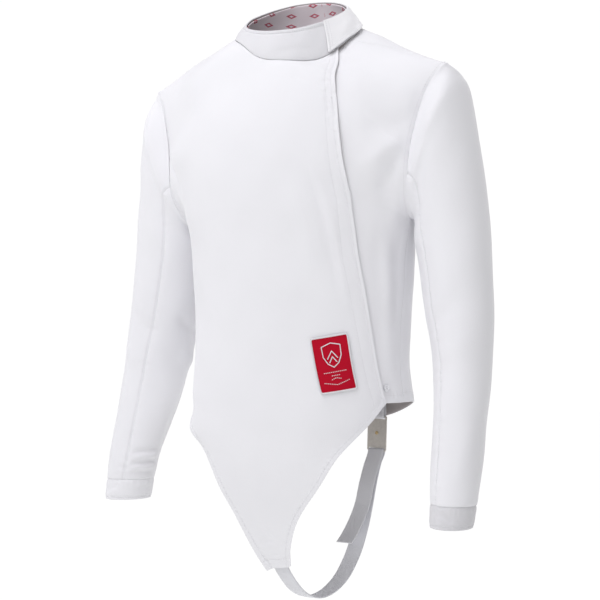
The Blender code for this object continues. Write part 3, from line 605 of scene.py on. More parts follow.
@dataclass
class Panel:
    """One piece of cloth: a thin shell over a surface, with its relief.

    Its rim bulges a little, and folds run out over the last stretch before a held edge.

    Attributes:
        name: The piece's name.
        surface: Its plain form.
        grids: Places by row and column; points that meet are joined.
        sign: 1 where rows run down and columns rightward to a viewer outside, else -1.
        thickness: Of the cloth.
        reliefs: Its folds, hems, seams and puckers.
        slow: Height of its slight all-over unevenness.
        slow_length: The longest wave of that.
        stand_off: How far it stands off the surface, from its places.
        fair: Share by which a point takes part in smoothing the plain form.
        sewn: Lines where the cloth is held, so that folds run out before them.
        held: The stretch beside them over which folds run out, in metres.
        bulge: The most that the rim stands out, in metres.
    """

    name: str
    surface: Surface
    grids: list[np.ndarray]
    sign: int
    thickness: float = CLOTH
    reliefs: list[Relief] = field(default_factory=list)
    slow: float = 0.0006
    slow_length: float = 0.16
    stand_off: Callable[[np.ndarray], np.ndarray] | None = None
    fair: Callable[[np.ndarray], np.ndarray] | None = None
    sewn: Sequence[np.ndarray] = ()
    held: float = 0.016
    bulge: float = 0.0004

    def __post_init__(self) -> None:
        """Lay out the points, their faces and the ways out of the cloth."""
        places = np.concatenate([grid.reshape(-1, 2) for grid in self.grids])
        plain = self.surface(places[:, 0], places[:, 1])
        _, first, index = np.unique(
            plain.round(6), axis=0, return_index=True, return_inverse=True
        )
        index = index.reshape(-1)
        quads, start = [], 0
        for grid in self.grids:
            rows, columns = grid.shape[:2]
            at = index[start : start + rows * columns].reshape(rows, columns)
            start += rows * columns
            loop = [at[:-1, :-1], at[1:, :-1], at[1:, 1:], at[:-1, 1:]]
            quads.append(np.stack(loop[:: self.sign], -1).reshape(-1, 4))
        self.faces = np.concatenate(quads)
        self.places, self.plain = places[first], plain[first]
        self.form = self._faired() if self.fair else self.plain
        self.ways = self._ways(self.form)

    def _ways(self, points: np.ndarray) -> np.ndarray:
        """Unit ways out at each point, from the faces round it."""
        a, b, c, d = (points[self.faces[:, corner]] for corner in range(4))
        normal = np.cross(c - a, d - b)
        total = np.zeros_like(points)
        for corner in range(4):
            np.add.at(total, self.faces[:, corner], normal)
        return total / np.maximum(np.linalg.norm(total, axis=1, keepdims=True), 1e-12)

    def _faired(self, rounds: int = 260) -> np.ndarray:
        """The plain form with its own creases smoothed, and its edges kept."""
        starts, ends = self.faces.reshape(-1), np.roll(self.faces, -1, 1).reshape(-1)
        count = len(self.plain)
        share = np.clip(self.fair(self.places), 0, 1)
        share[np.unique(self._rim_edges())] = 0
        number = np.bincount(starts, minlength=count) + np.bincount(ends, minlength=count)
        scale = (share / np.maximum(number, 1))[:, None]

        def relaxed(points: np.ndarray) -> np.ndarray:
            """Points drawn towards their neighbours' middles, again and again."""
            for _ in range(rounds):
                total = np.stack([
                    np.bincount(starts, points[ends, axis], count)
                    + np.bincount(ends, points[starts, axis], count)
                    for axis in range(3)
                ], 1)  # fmt: skip
                points = points + (total - points * number[:, None]) * scale
            return points

        once = relaxed(self.plain)
        return once + relaxed(self.plain - once)

    def _rim_edges(self) -> tuple[np.ndarray, np.ndarray]:
        """The two ends of every edge that has a face on one side only."""
        count = len(self.plain)
        starts, ends = self.faces.reshape(-1), np.roll(self.faces, -1, 1).reshape(-1)
        paired = np.isin(starts * count + ends, ends * count + starts) | (starts == ends)
        return starts[~paired], ends[~paired]

    def heights(self, points: np.ndarray, places: np.ndarray) -> np.ndarray:
        """How far the finished cloth stands off the form at points of the plain surface."""
        free = np.ones(len(points))
        for edge in self.sewn:
            gap = nearest(points, self.surface(edge[:, 0], edge[:, 1]))[0]
            free = np.minimum(free, ease(gap / self.held))
        total = unevenness(points, self.slow, self.slow_length) * free
        for relief in self.reliefs:
            lift = relief.lift(self.surface, points)
            total = total + (lift * free if relief.shape is Shape.FOLD else lift)
        return total if self.stand_off is None else total + self.stand_off(places)

    def laid(self, places: np.ndarray, lift: float = 0.0) -> np.ndarray:
        """Points on the finished cloth at any places."""
        points = self.surface(places[:, 0], places[:, 1])
        moved, ways = np.empty_like(points), np.empty_like(points)
        for index, point in enumerate(points):
            gaps = ((self.plain - point) ** 2).sum(1)
            near = np.argpartition(gaps, 4)[:4]
            weight = 1 / (gaps[near] + 1e-9)
            weight /= weight.sum()
            moved[index] = weight @ (self.form[near] - self.plain[near])
            ways[index] = weight @ self.ways[near]
        height = self.heights(points, places) + lift
        return points + moved + ways * height[:, None]

    def build(self, outside: bpy.types.Material, inside: bpy.types.Material) -> bpy.types.Object:
        """Make the closed shell.

        Args:
            outside: The material of the face that shows.
            inside: The material of the other face.

        Returns:
            The new object, riding on the body.
        """
        outer = self.form + self.ways * self.heights(self.plain, self.places)[:, None]
        count, ways = len(outer), self.ways
        a, b = self._rim_edges()
        rim = np.unique(np.concatenate([a, b]))
        slot = np.full(count, -1)
        slot[rim] = np.arange(len(rim))
        aside = np.zeros((count, 3))
        np.add.at(aside, a, np.cross(outer[b] - outer[a], ways[a]))
        np.add.at(aside, b, np.cross(outer[b] - outer[a], ways[b]))
        aside = aside[rim] / np.maximum(np.linalg.norm(aside[rim], axis=1, keepdims=True), 1e-9)
        inner = outer - ways * self.thickness
        middle = (outer[rim] + inner[rim]) / 2 + aside * min(self.thickness * 0.3, self.bulge)
        points = np.vstack([outer, inner, middle])
        mid_a, mid_b = slot[a] + 2 * count, slot[b] + 2 * count
        rims = [np.stack([b, a, mid_a, mid_b], -1)]
        rims.append(np.stack([mid_b, mid_a, a + count, b + count], -1))
        loops = np.concatenate([self.faces, self.faces[:, ::-1] + count, *rims])
        node = mesh_object(self.name, points, loops, [outside, inside])
        sides = np.zeros(len(node.data.polygons), np.int32)
        sides[len(self.faces) : 2 * len(self.faces)] = 1
        node.data.polygons.foreach_set("material_index", sides)
        store = node.data.attributes.new("cloth_place", "FLOAT_VECTOR", "POINT")
        where = np.vstack([self.plain, self.plain, self.plain[rim]])
        store.data.foreach_set("vector", where.astype(np.float32).ravel())
        return node


def mesh_object(
    name: str, points: np.ndarray, loops: np.ndarray, materials: Sequence[bpy.types.Material]
) -> bpy.types.Object:
    """A smooth-shaded mesh piece that rides on the body.

    Args:
        name: The piece's name.
        points: Its points, in metres.
        loops: Faces of three or four corners each; a doubled corner is dropped.
        materials: The materials, by slot.

    Returns:
        The new object.
    """
    mesh = bpy.data.meshes.new(name)
    faces = [tuple(dict.fromkeys(loop)) for loop in np.asarray(loops).tolist()]
    mesh.from_pydata(np.asarray(points).tolist(), [], [f for f in faces if len(f) > 2])
    mesh.shade_smooth()
    for material in materials:
        mesh.materials.append(material)
    node = bpy.data.objects.new(name, mesh)
    bpy.context.scene.collection.objects.link(node)
    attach(node, BODY)
    return node


def by_neck(places: np.ndarray) -> np.ndarray:
    """How much of the form is smoothed: most where the rows leave the neck."""
    row = places[:, 1]
    return ease((row - 1.0) / 1.2) * ease((5.6 - row) / 1.6)


def grid(rows: np.ndarray, columns: np.ndarray) -> np.ndarray:
    """Surface coordinates with columns as the first one and rows as the second."""
    columns = np.broadcast_to(columns, (len(rows), np.shape(columns)[-1]))
    tall = np.broadcast_to(np.reshape(rows, (-1, 1)), columns.shape)
    return np.stack([columns, tall], -1)


def crowded(count: int, low: float = 1.3, high: float = 1.3) -> np.ndarray:
    """Shares from 0 to 1, closer together towards both ends."""
    share = np.linspace(0, 1, count)
    return share**low / (share**low + (1 - share) ** high)


# ------------------------------------------------------------------ materials


@dataclass(frozen=True)
class ClothFinish:
    """How one woven cloth looks.

    Attributes:
        colour: Linear colour of the cloth.
        deep: Linear colour in its hollows and between threads: painted shade there, mixed with slow
            random tone.
        roughness: Of the threads.
        thread: Spacing of the threads, in metres.
        weave: Strength of the weave's bump.
        crumple: Height of the fine crumples, in metres.
        sheen: Weight of the soft sheen.
    """

    colour: Colour
    deep: Colour
    roughness: float = 0.8
    thread: float = 0.0009
    weave: float = 0.25
    crumple: float = 0.0004
    sheen: float = 0.25


WHITE = ClothFinish((0.86, 0.858, 0.885), (0.76, 0.757, 0.785))
INSIDE = ClothFinish((0.46, 0.43, 0.43), (0.36, 0.33, 0.33), sheen=0.1)
TERRY = ClothFinish((0.97, 0.968, 0.985), (0.88, 0.875, 0.90), 0.95, 0.0022, 0.9, 0.0007)
# Painted shade: the white cloth made darker, with a rib texture, for the left cuff only, which
# stands in the shade.
SHADED_CUFF = ClothFinish((0.78, 0.775, 0.80), (0.62, 0.615, 0.64), 0.85, 0.0014, 0.5, 0.0006)
# Painted shade: the white cloth made darker for the collar, whose upward tilt would otherwise catch
# the top lamp brightly.
SHADED_COLLAR = ClothFinish((0.76, 0.757, 0.782), (0.67, 0.667, 0.692))
THREAD = ClothFinish((0.80, 0.798, 0.825), (0.66, 0.655, 0.68), 0.6, 0.0004, 0.3, 0.0)
RED = ClothFinish((0.56, 0.0, 0.022), (0.40, 0.0, 0.014), 0.85, 0.0008, 0.6, 0.0002, 0.03)


@dataclass
class Nodes:
    """A few short ways to wire a node tree."""

    tree: bpy.types.NodeTree

    def add(self, kind: str, **settings: Any) -> bpy.types.Node:
        """Add a node; settings are its own values, or an input's where the name is one."""
        node = self.tree.nodes.new(kind)
        for name, value in settings.items():
            if name in node.inputs:
                self._feed(node.inputs[name], value)
            else:
                setattr(node, name, value)
        return node

    def _feed(self, socket: bpy.types.NodeSocket, value: Any) -> None:
        """Link a socket, or set its own value."""
        if isinstance(value, bpy.types.NodeSocket):
            self.tree.links.new(value, socket)
        else:
            socket.default_value = value

    def feed(self, node: bpy.types.Node, **inputs: Any) -> bpy.types.Node:
        """Set or link inputs by name, with _ for a space."""
        for name, value in inputs.items():
            self._feed(node.inputs[name.replace("_", " ")], value)
        return node

    def maths(self, operation: str, *values: Any) -> bpy.types.NodeSocket:
        """The result of one maths node."""
        node = self.tree.nodes.new("ShaderNodeMath")
        node.operation = operation
        for socket, value in zip(node.inputs, values):
            self._feed(socket, value)
        return node.outputs[0]

    def mix(self, share: Any, first: Any, second: Any) -> bpy.types.NodeSocket:
        """A colour part of the way from the first to the second."""
        node = self.tree.nodes.new("ShaderNodeMix")
        node.data_type = "RGBA"
        for index, value in ((0, share), (6, first), (7, second)):
            if isinstance(value, tuple):
                value = (*value, 1.0)
            self._feed(node.inputs[index], value)
        return node.outputs[2]


def shader_group(name: str, inputs: dict[str, str], outputs: dict[str, str]) -> bpy.types.NodeTree:
    """An empty shader node group with named sockets."""
    tree = bpy.data.node_groups.new(name, "ShaderNodeTree")
    for socket, kind in inputs.items():
        tree.interface.new_socket(socket, in_out="INPUT", socket_type=kind)
    for socket, kind in outputs.items():
        tree.interface.new_socket(socket, in_out="OUTPUT", socket_type=kind)
    return tree


def weave_group() -> bpy.types.NodeTree:
    """Plain weave and crumples: puts out a shade mask, painted shade between threads mixed with
    slow random tone, and a height, both from places.
    """
    floats = {"Thread": "NodeSocketFloat", "Crumple": "NodeSocketFloat"}
    tree = shader_group(
        "Weave",
        {"Place": "NodeSocketVector", **floats},
        {"Shade": "NodeSocketFloat", "Threads": "NodeSocketFloat", "Crumples": "NodeSocketFloat"},
    )
    make = Nodes(tree)
    source = make.add("NodeGroupInput")
    sink = make.add("NodeGroupOutput")
    split = make.add("ShaderNodeSeparateXYZ", Vector=source.outputs["Place"])
    turn = make.maths("DIVIDE", 2 * math.pi, source.outputs["Thread"])
    diagonal = make.maths("ADD", split.outputs["X"], split.outputs["Y"])
    warp = make.maths("SINE", make.maths("MULTIPLY", diagonal, turn))
    weft = make.maths("SINE", make.maths("MULTIPLY", split.outputs["Z"], turn))
    threads = make.maths("MULTIPLY_ADD", make.maths("MULTIPLY", warp, weft), 0.5, 0.5)
    coarse = make.add("ShaderNodeTexNoise", Vector=source.outputs["Place"], Scale=38.0, Detail=5.0)
    coarse.inputs["Roughness"].default_value = 0.55
    fine = make.add("ShaderNodeTexNoise", Vector=source.outputs["Place"], Scale=620.0, Detail=2.0)
    both = make.maths("MULTIPLY_ADD", fine.outputs["Fac"], 0.12, coarse.outputs["Fac"])
    crumples = make.maths("MULTIPLY", both, source.outputs["Crumple"])
    slow = make.add("ShaderNodeTexNoise", Vector=source.outputs["Place"], Scale=9.0, Detail=3.0)
    clouds = make.maths("MULTIPLY", slow.outputs["Fac"], 0.5)
    # Painted shade between the threads, plus slow random tone.
    shade = make.maths("MULTIPLY_ADD", threads, 0.35, clouds)
    make.feed(sink, Shade=shade, Threads=threads, Crumples=crumples)
    return tree


def new_material(name: str) -> tuple[Nodes, bpy.types.Node, bpy.types.Material]:
    """A material with its Principled BSDF, ready to wire."""
    material = bpy.data.materials.new(name)
    material.use_nodes = True
    make = Nodes(material.node_tree)
    return make, material.node_tree.nodes["Principled BSDF"], material


def place_socket(make: Nodes, attribute: str | None) -> bpy.types.NodeSocket:
    """The piece's own stored places, or its object coordinates."""
    if attribute:
        return make.add("ShaderNodeAttribute", attribute_name=attribute).outputs["Vector"]
    return make.add("ShaderNodeTexCoord").outputs["Object"]


def cloth_material(
    name: str, finish: ClothFinish, weave: bpy.types.NodeTree, attribute: str | None = "cloth_place"
) -> bpy.types.Material:
    """A woven cloth.

    Args:
        name: The material's name.
        finish: Its colours and weave.
        weave: The shared weave group.
        attribute: Where the places are stored; None reads object coordinates.

    Returns:
        The material.
    """
    make, shader, material = new_material(name)
    group = make.add("ShaderNodeGroup", node_tree=weave)
    make.feed(group, Place=place_socket(make, attribute), Thread=finish.thread, Crumple=1.0)
    # Darker between threads: painted shade from the weave's mask.
    colour = make.mix(group.outputs["Shade"], finish.deep, finish.colour)
    folds = make.add("ShaderNodeBump", Strength=1.0, Distance=finish.crumple)
    make.feed(folds, Height=group.outputs["Crumples"])
    threads = make.add("ShaderNodeBump", Strength=finish.weave, Distance=finish.thread * 0.25)
    make.feed(threads, Height=group.outputs["Threads"], Normal=folds.outputs["Normal"])
    make.feed(shader, Base_Color=colour, Roughness=finish.roughness)
    make.feed(shader, Normal=threads.outputs["Normal"], Sheen_Weight=finish.sheen)
    shader.inputs["Sheen Roughness"].default_value = 0.45
    shader.inputs["Specular IOR Level"].default_value = 0.2
    return material


def webbing_material(name: str, light: Colour, deep: Colour) -> bpy.types.Material:
    """Ribbed webbing: small diagonal ribs across a strap that lies along X, darker in the ribs'
    hollows as painted shade.
    """
    make, shader, material = new_material(name)
    place = place_socket(make, "cloth_place")
    split = make.add("ShaderNodeSeparateXYZ", Vector=place)
    across = make.maths("MULTIPLY", split.outputs["X"], 2 * math.pi / 0.0022)
    along = make.maths("MULTIPLY", split.outputs["Y"], 2 * math.pi / 0.0019)
    ribs = make.maths("MULTIPLY", make.maths("SINE", across), make.maths("SINE", along))
    height = make.maths("MULTIPLY_ADD", ribs, 0.5, 0.5)
    # Darker in the hollows between ribs: painted shade.
    colour = make.mix(height, deep, light)
    bump = make.add("ShaderNodeBump", Strength=0.8, Distance=0.0005)
    make.feed(bump, Height=height)
    make.feed(shader, Base_Color=colour, Roughness=0.7, Normal=bump.outputs["Normal"])
    make.feed(shader, Sheen_Weight=0.15)
    return material


def print_material(name: str, weave: bpy.types.NodeTree) -> bpy.types.Material:
    """Grey lining with a loose all-over print of small red lozenges."""
    make, shader, material = new_material(name)
    place = place_socket(make, "print_place")
    split = make.add("ShaderNodeSeparateXYZ", Vector=place)

    def cell(socket: bpy.types.NodeSocket, size: float) -> bpy.types.NodeSocket:
        """The distance from the middle of a repeat, as a share of its size."""
        share = make.maths("FRACT", make.maths("DIVIDE", socket, size))
        return make.maths("ABSOLUTE", make.maths("SUBTRACT", share, 0.5))

    lozenge = make.maths("ADD", cell(split.outputs["X"], 0.030), cell(split.outputs["Y"], 0.013))
    inside = make.maths("LESS_THAN", lozenge, 0.24)
    hollow = make.maths("GREATER_THAN", lozenge, 0.10)
    mask = make.maths("MULTIPLY", inside, hollow)
    group = make.add("ShaderNodeGroup", node_tree=weave)
    make.feed(group, Place=place, Thread=0.0012, Crumple=1.0)
    # Darker between threads: painted shade from the weave's mask.
    grey = make.mix(group.outputs["Shade"], (0.90, 0.80, 0.86), (0.97, 0.90, 0.94))
    colour = make.mix(make.maths("MULTIPLY", mask, 0.85), grey, (0.55, 0.02, 0.08))
    bump = make.add("ShaderNodeBump", Strength=0.5, Distance=0.0003)
    make.feed(bump, Height=group.outputs["Threads"])
    make.feed(shader, Base_Color=colour, Roughness=0.8, Normal=bump.outputs["Normal"])
    return material


def metal_material(name: str, deep: Colour, light: Colour, metallic: float) -> bpy.types.Material:
    """Satin plated metal with fine brushing and worn, brighter high spots.

    Args:
        name: The material's name.
        deep: Its colour in the dull spots.
        light: Its colour in the bright spots.
        metallic: How far it mirrors like bare metal.

    Returns:
        The material.
    """
    make, shader, material = new_material(name)
    place = place_socket(make, None)
    stretch = make.add("ShaderNodeMapping", Vector=place)
    stretch.inputs["Scale"].default_value = (60.0, 60.0, 1400.0)
    brush = make.add("ShaderNodeTexNoise", Vector=stretch.outputs["Vector"], Scale=3.0, Detail=3.0)
    spots = make.add("ShaderNodeTexNoise", Vector=place, Scale=260.0, Detail=3.0)
    colour = make.mix(spots.outputs["Fac"], deep, light)
    rough = make.maths("MULTIPLY_ADD", brush.outputs["Fac"], 0.25, 0.28)
    bump = make.add("ShaderNodeBump", Strength=0.3, Distance=0.0001)
    make.feed(bump, Height=brush.outputs["Fac"])
    make.feed(shader, Base_Color=colour, Metallic=metallic, Roughness=rough)
    make.feed(shader, Normal=bump.outputs["Normal"])
    return material


@dataclass
class Materials:
    """Every material of the jacket."""

    white: bpy.types.Material
    inside: bpy.types.Material
    terry: bpy.types.Material
    cuff: bpy.types.Material
    collar: bpy.types.Material
    thread: bpy.types.Material
    red: bpy.types.Material
    emblem: bpy.types.Material
    lining: bpy.types.Material
    webbing: bpy.types.Material
    metal: bpy.types.Material
    snap: bpy.types.Material
    rivet: bpy.types.Material

    @classmethod
    def make(cls) -> Materials:
        """Build them all round one weave group."""
        weave = weave_group()
        return cls(
            white=cloth_material("white_cloth", WHITE, weave),
            inside=cloth_material("inside_cloth", INSIDE, weave),
            terry=cloth_material("brushed_tab", TERRY, weave),
            cuff=cloth_material("ribbed_cuff_painted_shade", SHADED_CUFF, weave),
            collar=cloth_material("collar_cloth_painted_shade", SHADED_COLLAR, weave),
            thread=cloth_material("thread", THREAD, weave, None),
            red=cloth_material("red_patch", RED, weave),
            emblem=cloth_material("white_embroidery", THREAD, weave, None),
            lining=print_material("printed_lining", weave),
            webbing=webbing_material("grey_webbing", (0.88, 0.885, 0.92), (0.60, 0.60, 0.635)),
            metal=metal_material("satin_nickel", (0.62, 0.59, 0.55), (0.82, 0.79, 0.73), 0.5),
            snap=metal_material("pale_snap", (0.74, 0.74, 0.77), (0.86, 0.86, 0.89), 0.15),
            rivet=metal_material("brass_rivet", (0.55, 0.40, 0.18), (0.95, 0.80, 0.50), 0.8),
        )


# ------------------------------------------------------------------ stitches


def stitch_group() -> bpy.types.NodeTree:
    """Geometry Nodes: short rounded stitches along every line of a mesh of edges."""
    tree = bpy.data.node_groups.new("Stitches", "GeometryNodeTree")
    sockets = [("Lines", "NodeSocketGeometry"), ("Pitch", "NodeSocketFloat")]
    sockets += [("Length", "NodeSocketFloat"), ("Thickness", "NodeSocketFloat")]
    sockets += [("Thread", "NodeSocketMaterial")]
    for name, kind in sockets:
        tree.interface.new_socket(name, in_out="INPUT", socket_type=kind)
    tree.interface.new_socket("Stitches", in_out="OUTPUT", socket_type="NodeSocketGeometry")
    make = Nodes(tree)
    source, sink = make.add("NodeGroupInput"), make.add("NodeGroupOutput")
    curve = make.add("GeometryNodeMeshToCurve", Mesh=source.outputs["Lines"])
    spaced = make.add("GeometryNodeResampleCurve", Curve=curve.outputs["Curve"], mode="LENGTH")
    make.feed(spaced, Length=source.outputs["Pitch"])
    along = make.add("GeometryNodeInputTangent")
    turned = make.add("FunctionNodeAlignRotationToVector", axis="X")
    make.feed(turned, Vector=along.outputs["Tangent"])
    ball = make.add("GeometryNodeMeshUVSphere", Segments=6, Rings=4, Radius=0.5)
    size = make.add("ShaderNodeCombineXYZ", X=source.outputs["Length"])
    make.feed(size, Y=source.outputs["Thickness"], Z=source.outputs["Thickness"])
    copies = make.add("GeometryNodeInstanceOnPoints", Points=spaced.outputs["Curve"])
    make.feed(copies, Instance=ball.outputs["Mesh"], Scale=size.outputs["Vector"])
    make.feed(copies, Rotation=turned.outputs["Rotation"])
    real = make.add("GeometryNodeRealizeInstances", Geometry=copies.outputs["Instances"])
    smooth_faces = make.add("GeometryNodeSetShadeSmooth", Geometry=real.outputs["Geometry"])
    coat = make.add("GeometryNodeSetMaterial", Geometry=smooth_faces.outputs["Geometry"])
    make.feed(coat, Material=source.outputs["Thread"])
    make.feed(sink, Stitches=coat.outputs["Geometry"])
    return tree


@dataclass
class Stitching:
    """The stitches of one piece: lines gathered first, then made in one go."""

    name: str
    material: bpy.types.Material
    pitch: float = 0.0034
    length: float = 0.0026
    thickness: float = 0.0007
    lines: list[np.ndarray] = field(default_factory=list)

    def run(self, panel: Panel, places: np.ndarray, lift: float = 0.0001) -> None:
        """Lay one line of stitches on a panel's finished cloth."""
        self.lines.append(panel.laid(places, lift))

    def build(self, group: bpy.types.NodeTree) -> bpy.types.Object:
        """Make the stitches along the gathered lines."""
        mesh = bpy.data.meshes.new(self.name)
        points = np.concatenate(self.lines)
        edges, start = [], 0
        for path in self.lines:
            edges += [(start + i, start + i + 1) for i in range(len(path) - 1)]
            start += len(path)
        mesh.from_pydata(points.tolist(), edges, [])
        draft = bpy.data.objects.new(self.name + "_lines", mesh)
        bpy.context.scene.collection.objects.link(draft)
        modifier = draft.modifiers.new("stitches", "NODES")
        modifier.node_group = group
        named = {s.name: s.identifier for s in group.interface.items_tree if s.in_out == "INPUT"}
        modifier[named["Pitch"]] = self.pitch
        modifier[named["Length"]] = self.length
        modifier[named["Thickness"]] = self.thickness
        modifier[named["Thread"]] = self.material
        graph = bpy.context.evaluated_depsgraph_get()
        made = bpy.data.meshes.new_from_object(draft.evaluated_get(graph), depsgraph=graph)
        bpy.data.objects.remove(draft, do_unlink=True)
        made.name = self.name
        node = bpy.data.objects.new(self.name, made)
        bpy.context.scene.collection.objects.link(node)
        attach(node, BODY)
        return node


# ------------------------------------------------------------------ the body's panels


def body_rows(last: float, count: int) -> np.ndarray:
    """Rows from the shoulder seam down, with the seam's own gap at the top."""
    return np.linspace(SEAM_ROW, last, count)


def front_edges() -> dict[str, np.ndarray]:
    """The right front's edges, as lines of places."""
    right = along_edge(lambda r: np.full_like(r, -1 + SEAM_ACROSS), HEM_ROW, TIP_ROW)
    left = along_edge(lambda r: np.full_like(r, PLACKET_END), HEM_ROW, TIP_ROW)
    tip = np.stack([np.linspace(-1 + SEAM_ACROSS, -1e-6, 20), np.full(20, TIP_ROW)], -1)
    tip_left = np.stack([np.linspace(0, PLACKET_END, 20), np.full(20, TIP_ROW)], -1)
    return {
        "placket": along_edge(placket, PLACKET[0, 0], HEM_ROW, 140),
        "tongue_right": right,
        "tongue_left": left,
        "tip": np.concatenate([tip, tip_left]),
        "side": along_edge(-1 + SEAM_ACROSS, UNDERARM_ROW, HEM_ROW),
        "armhole": along_edge(-1 + SEAM_ACROSS, SEAM_ROW, UNDERARM_ROW, 140),
    }


def front_right_folds() -> list[Relief]:
    """The right front's own folds: few and soft, and deepest by the armhole."""
    return [
        Relief(line((-0.99, 2.75), (-0.90, 3.45), (-0.80, 4.15), (-0.72, 4.85)), -0.0042, 0.009),
        Relief(line((-0.97, 2.9), (-0.84, 3.3), (-0.66, 3.9), (-0.50, 4.4)), 0.0022, 0.014),
        Relief(line((-0.86, 4.2), (-0.72, 4.9), (-0.60, 5.6)), 0.0018, 0.016),
        Relief(line((-0.96, 5.3), (-0.80, 5.6), (-0.62, 5.7)), -0.0014, 0.012),
        Relief(line((0.33, 4.4), (0.39, 5.3), (0.43, 6.0), (0.52, 6.8)), -0.0011, 0.0055),
        Relief(line((0.36, 4.2), (0.44, 5.3), (0.48, 6.0), (0.58, 6.9)), 0.0009, 0.0060),
        Relief(line((0.24, 4.8), (0.31, 5.7), (0.36, 6.6)), 0.0012, 0.013),
        Relief(line((0.16, 4.6), (0.22, 5.5), (0.30, 6.5), (0.33, 7.0)), -0.0010, 0.014),
        Relief(line((-0.42, 4.5), (-0.20, 5.1), (0.10, 5.3), (0.30, 5.2)), -0.0013, 0.024),
        Relief(line((-0.38, 5.3), (-0.14, 6.2), (0.02, 7.2), (0.06, 8.2)), 0.0016, 0.030),
        Relief(line((0.30, 7.0), (0.22, 7.8), (0.18, 8.6)), -0.0014, 0.016),
        Relief(line((-0.55, 6.2), (-0.48, 7.0), (-0.42, 8.0)), -0.0012, 0.020),
        Relief(line((-0.85, 6.6), (-0.60, 7.6), (-0.40, 9.0)), 0.0010, 0.022),
        Relief(line((-0.10, 9.2), (-0.05, 10.6), (0.02, 12.2)), 0.0011, 0.018),
        Relief(line((-0.70, 12.9), (-0.20, 12.6), (0.45, 12.8)), -0.0012, 0.004),
        Relief(line((-0.55, 13.3), (0.05, 13.2), (0.60, 13.35)), -0.0009, 0.003),
        Relief(line((-0.30, 12.0), (0.10, 12.5), (0.15, 13.0)), 0.0010, 0.005),
        Relief(line((-0.60, 1.0), (-0.72, 1.7), (-0.80, 2.3)), -0.0014, 0.018),
        Relief(line((-0.30, 1.4), (-0.45, 2.3), (-0.52, 3.2)), 0.0012, 0.024),
    ]


def front_left_folds() -> list[Relief]:
    """The left front's folds run from the armhole in towards the crossing edge."""
    return [
        Relief(line((0.99, 2.3), (0.90, 3.1), (0.78, 3.9), (0.66, 4.5)), 0.0040, 0.012),
        Relief(line((1.00, 3.0), (0.92, 3.7), (0.82, 4.4), (0.70, 5.0)), -0.0046, 0.010),
        Relief(line((1.00, 3.9), (0.93, 4.5), (0.84, 5.2), (0.76, 5.8)), 0.0026, 0.012),
        Relief(line((0.97, 1.7), (0.86, 2.4), (0.74, 3.2), (0.62, 3.9)), -0.0020, 0.014),
        Relief(line((0.86, 5.2), (0.80, 6.0), (0.84, 7.0), (0.88, 7.8)), 0.0018, 0.010),
        Relief(line((0.93, 5.4), (0.90, 6.2), (0.93, 7.1)), -0.0018, 0.009),
        Relief(line((0.74, 5.2), (0.74, 6.2), (0.82, 7.2)), -0.0014, 0.010),
        Relief(line((0.78, 0.9), (0.88, 1.5), (0.95, 2.0)), 0.0012, 0.014),
        Relief(line((0.90, 7.2), (0.95, 7.5), (0.99, 7.7)), -0.0010, 0.006),
    ]


def back_folds() -> list[Relief]:
    """The back's folds: a hollow between the shoulder blades and drag to each armhole."""
    folds = [
        Relief(line((-0.05, 3.6), (0.02, 4.6), (0.00, 5.8)), -0.0022, 0.030),
        Relief(line((-0.12, 6.2), (0.04, 6.8), (0.14, 7.3)), -0.0018, 0.014),
        Relief(line((-0.40, 6.9), (-0.10, 7.2), (0.10, 7.1)), 0.0018, 0.016),
        Relief(line((0.10, 5.6), (0.32, 6.1), (0.50, 6.9)), 0.0020, 0.018),
    ]
    for side, late in ((-1, 0.0), (1, 0.25)):
        ways = [
            ((0.98, 3.0), (0.86, 3.8), (0.70, 4.5), -0.0040, 0.010),
            ((0.97, 3.6), (0.82, 4.4), (0.64, 5.1), 0.0030, 0.013),
            ((0.99, 4.4), (0.86, 5.1), (0.72, 5.9), -0.0026, 0.011),
            ((0.62, 1.4), (0.72, 2.3), (0.76, 3.2), 0.0016, 0.020),
            ((0.90, 5.6), (0.84, 6.6), (0.86, 7.6), 0.0016, 0.014),
            ((0.62, 5.4), (0.56, 6.6), (0.60, 7.7), -0.0018, 0.018),
        ]
        for *places, height, width in ways:
            at = [(side * across, min(row + late, HEM_ROW)) for across, row in places]
            folds.append(Relief(line(*at), height, width))
    return folds


class Side(Enum):
    """The wearer's two sides."""

    LEFT = "left"
    RIGHT = "right"


def sleeve_folds(side: Side) -> list[Relief]:
    """A sleeve's folds, by angle and ring; the two sleeves differ a little."""
    shift = 0.0 if side is Side.LEFT else 0.22
    rows = [
        ((70, 0.6), (95, 1.4), (112, 2.2), -0.0026, 0.010),
        ((40, 0.4), (52, 1.3), (60, 2.4), 0.0012, 0.016),
        ((100, 1.5), (130, 2.2), (170, 2.6), -0.0022, 0.010),
        ((90, 2.4), (125, 2.9), (165, 3.2), 0.0018, 0.012),
        ((60, 3.7), (95, 4.1), (140, 4.3), -0.0019, 0.011),
        ((50, 4.3), (85, 4.7), (130, 4.7), 0.0014, 0.012),
        ((150, 3.8), (190, 4.2), (235, 4.3), -0.0020, 0.010),
        ((170, 4.6), (205, 4.8), (245, 4.7), 0.0018, 0.012),
        ((20, 2.2), (30, 3.4), (24, 4.6), 0.0012, 0.020),
        ((85, 5.3), (80, 6.2), (88, 7.0), -0.0010, 0.012),
        ((35, 5.6), (50, 6.3), (70, 6.8), 0.0010, 0.012),
        ((200, 5.4), (215, 6.2), (205, 7.0), -0.0014, 0.012),
        ((285, 1.2), (292, 2.4), (286, 3.8), 0.0014, 0.018),
        ((320, 3.6), (300, 4.2), (275, 4.5), -0.0018, 0.012),
        ((330, 5.0), (318, 6.0), (322, 6.9), 0.0010, 0.014),
    ]
    folds = []
    for *places, height, width in rows:
        at = [(angle, ring + shift) for angle, ring in places]
        folds.append(Relief(line(*at), height, width))
        if at[-1][0] > 180:
            folds.append(Relief(line(*[(a - 360, r) for a, r in at]), height, width))
    return folds


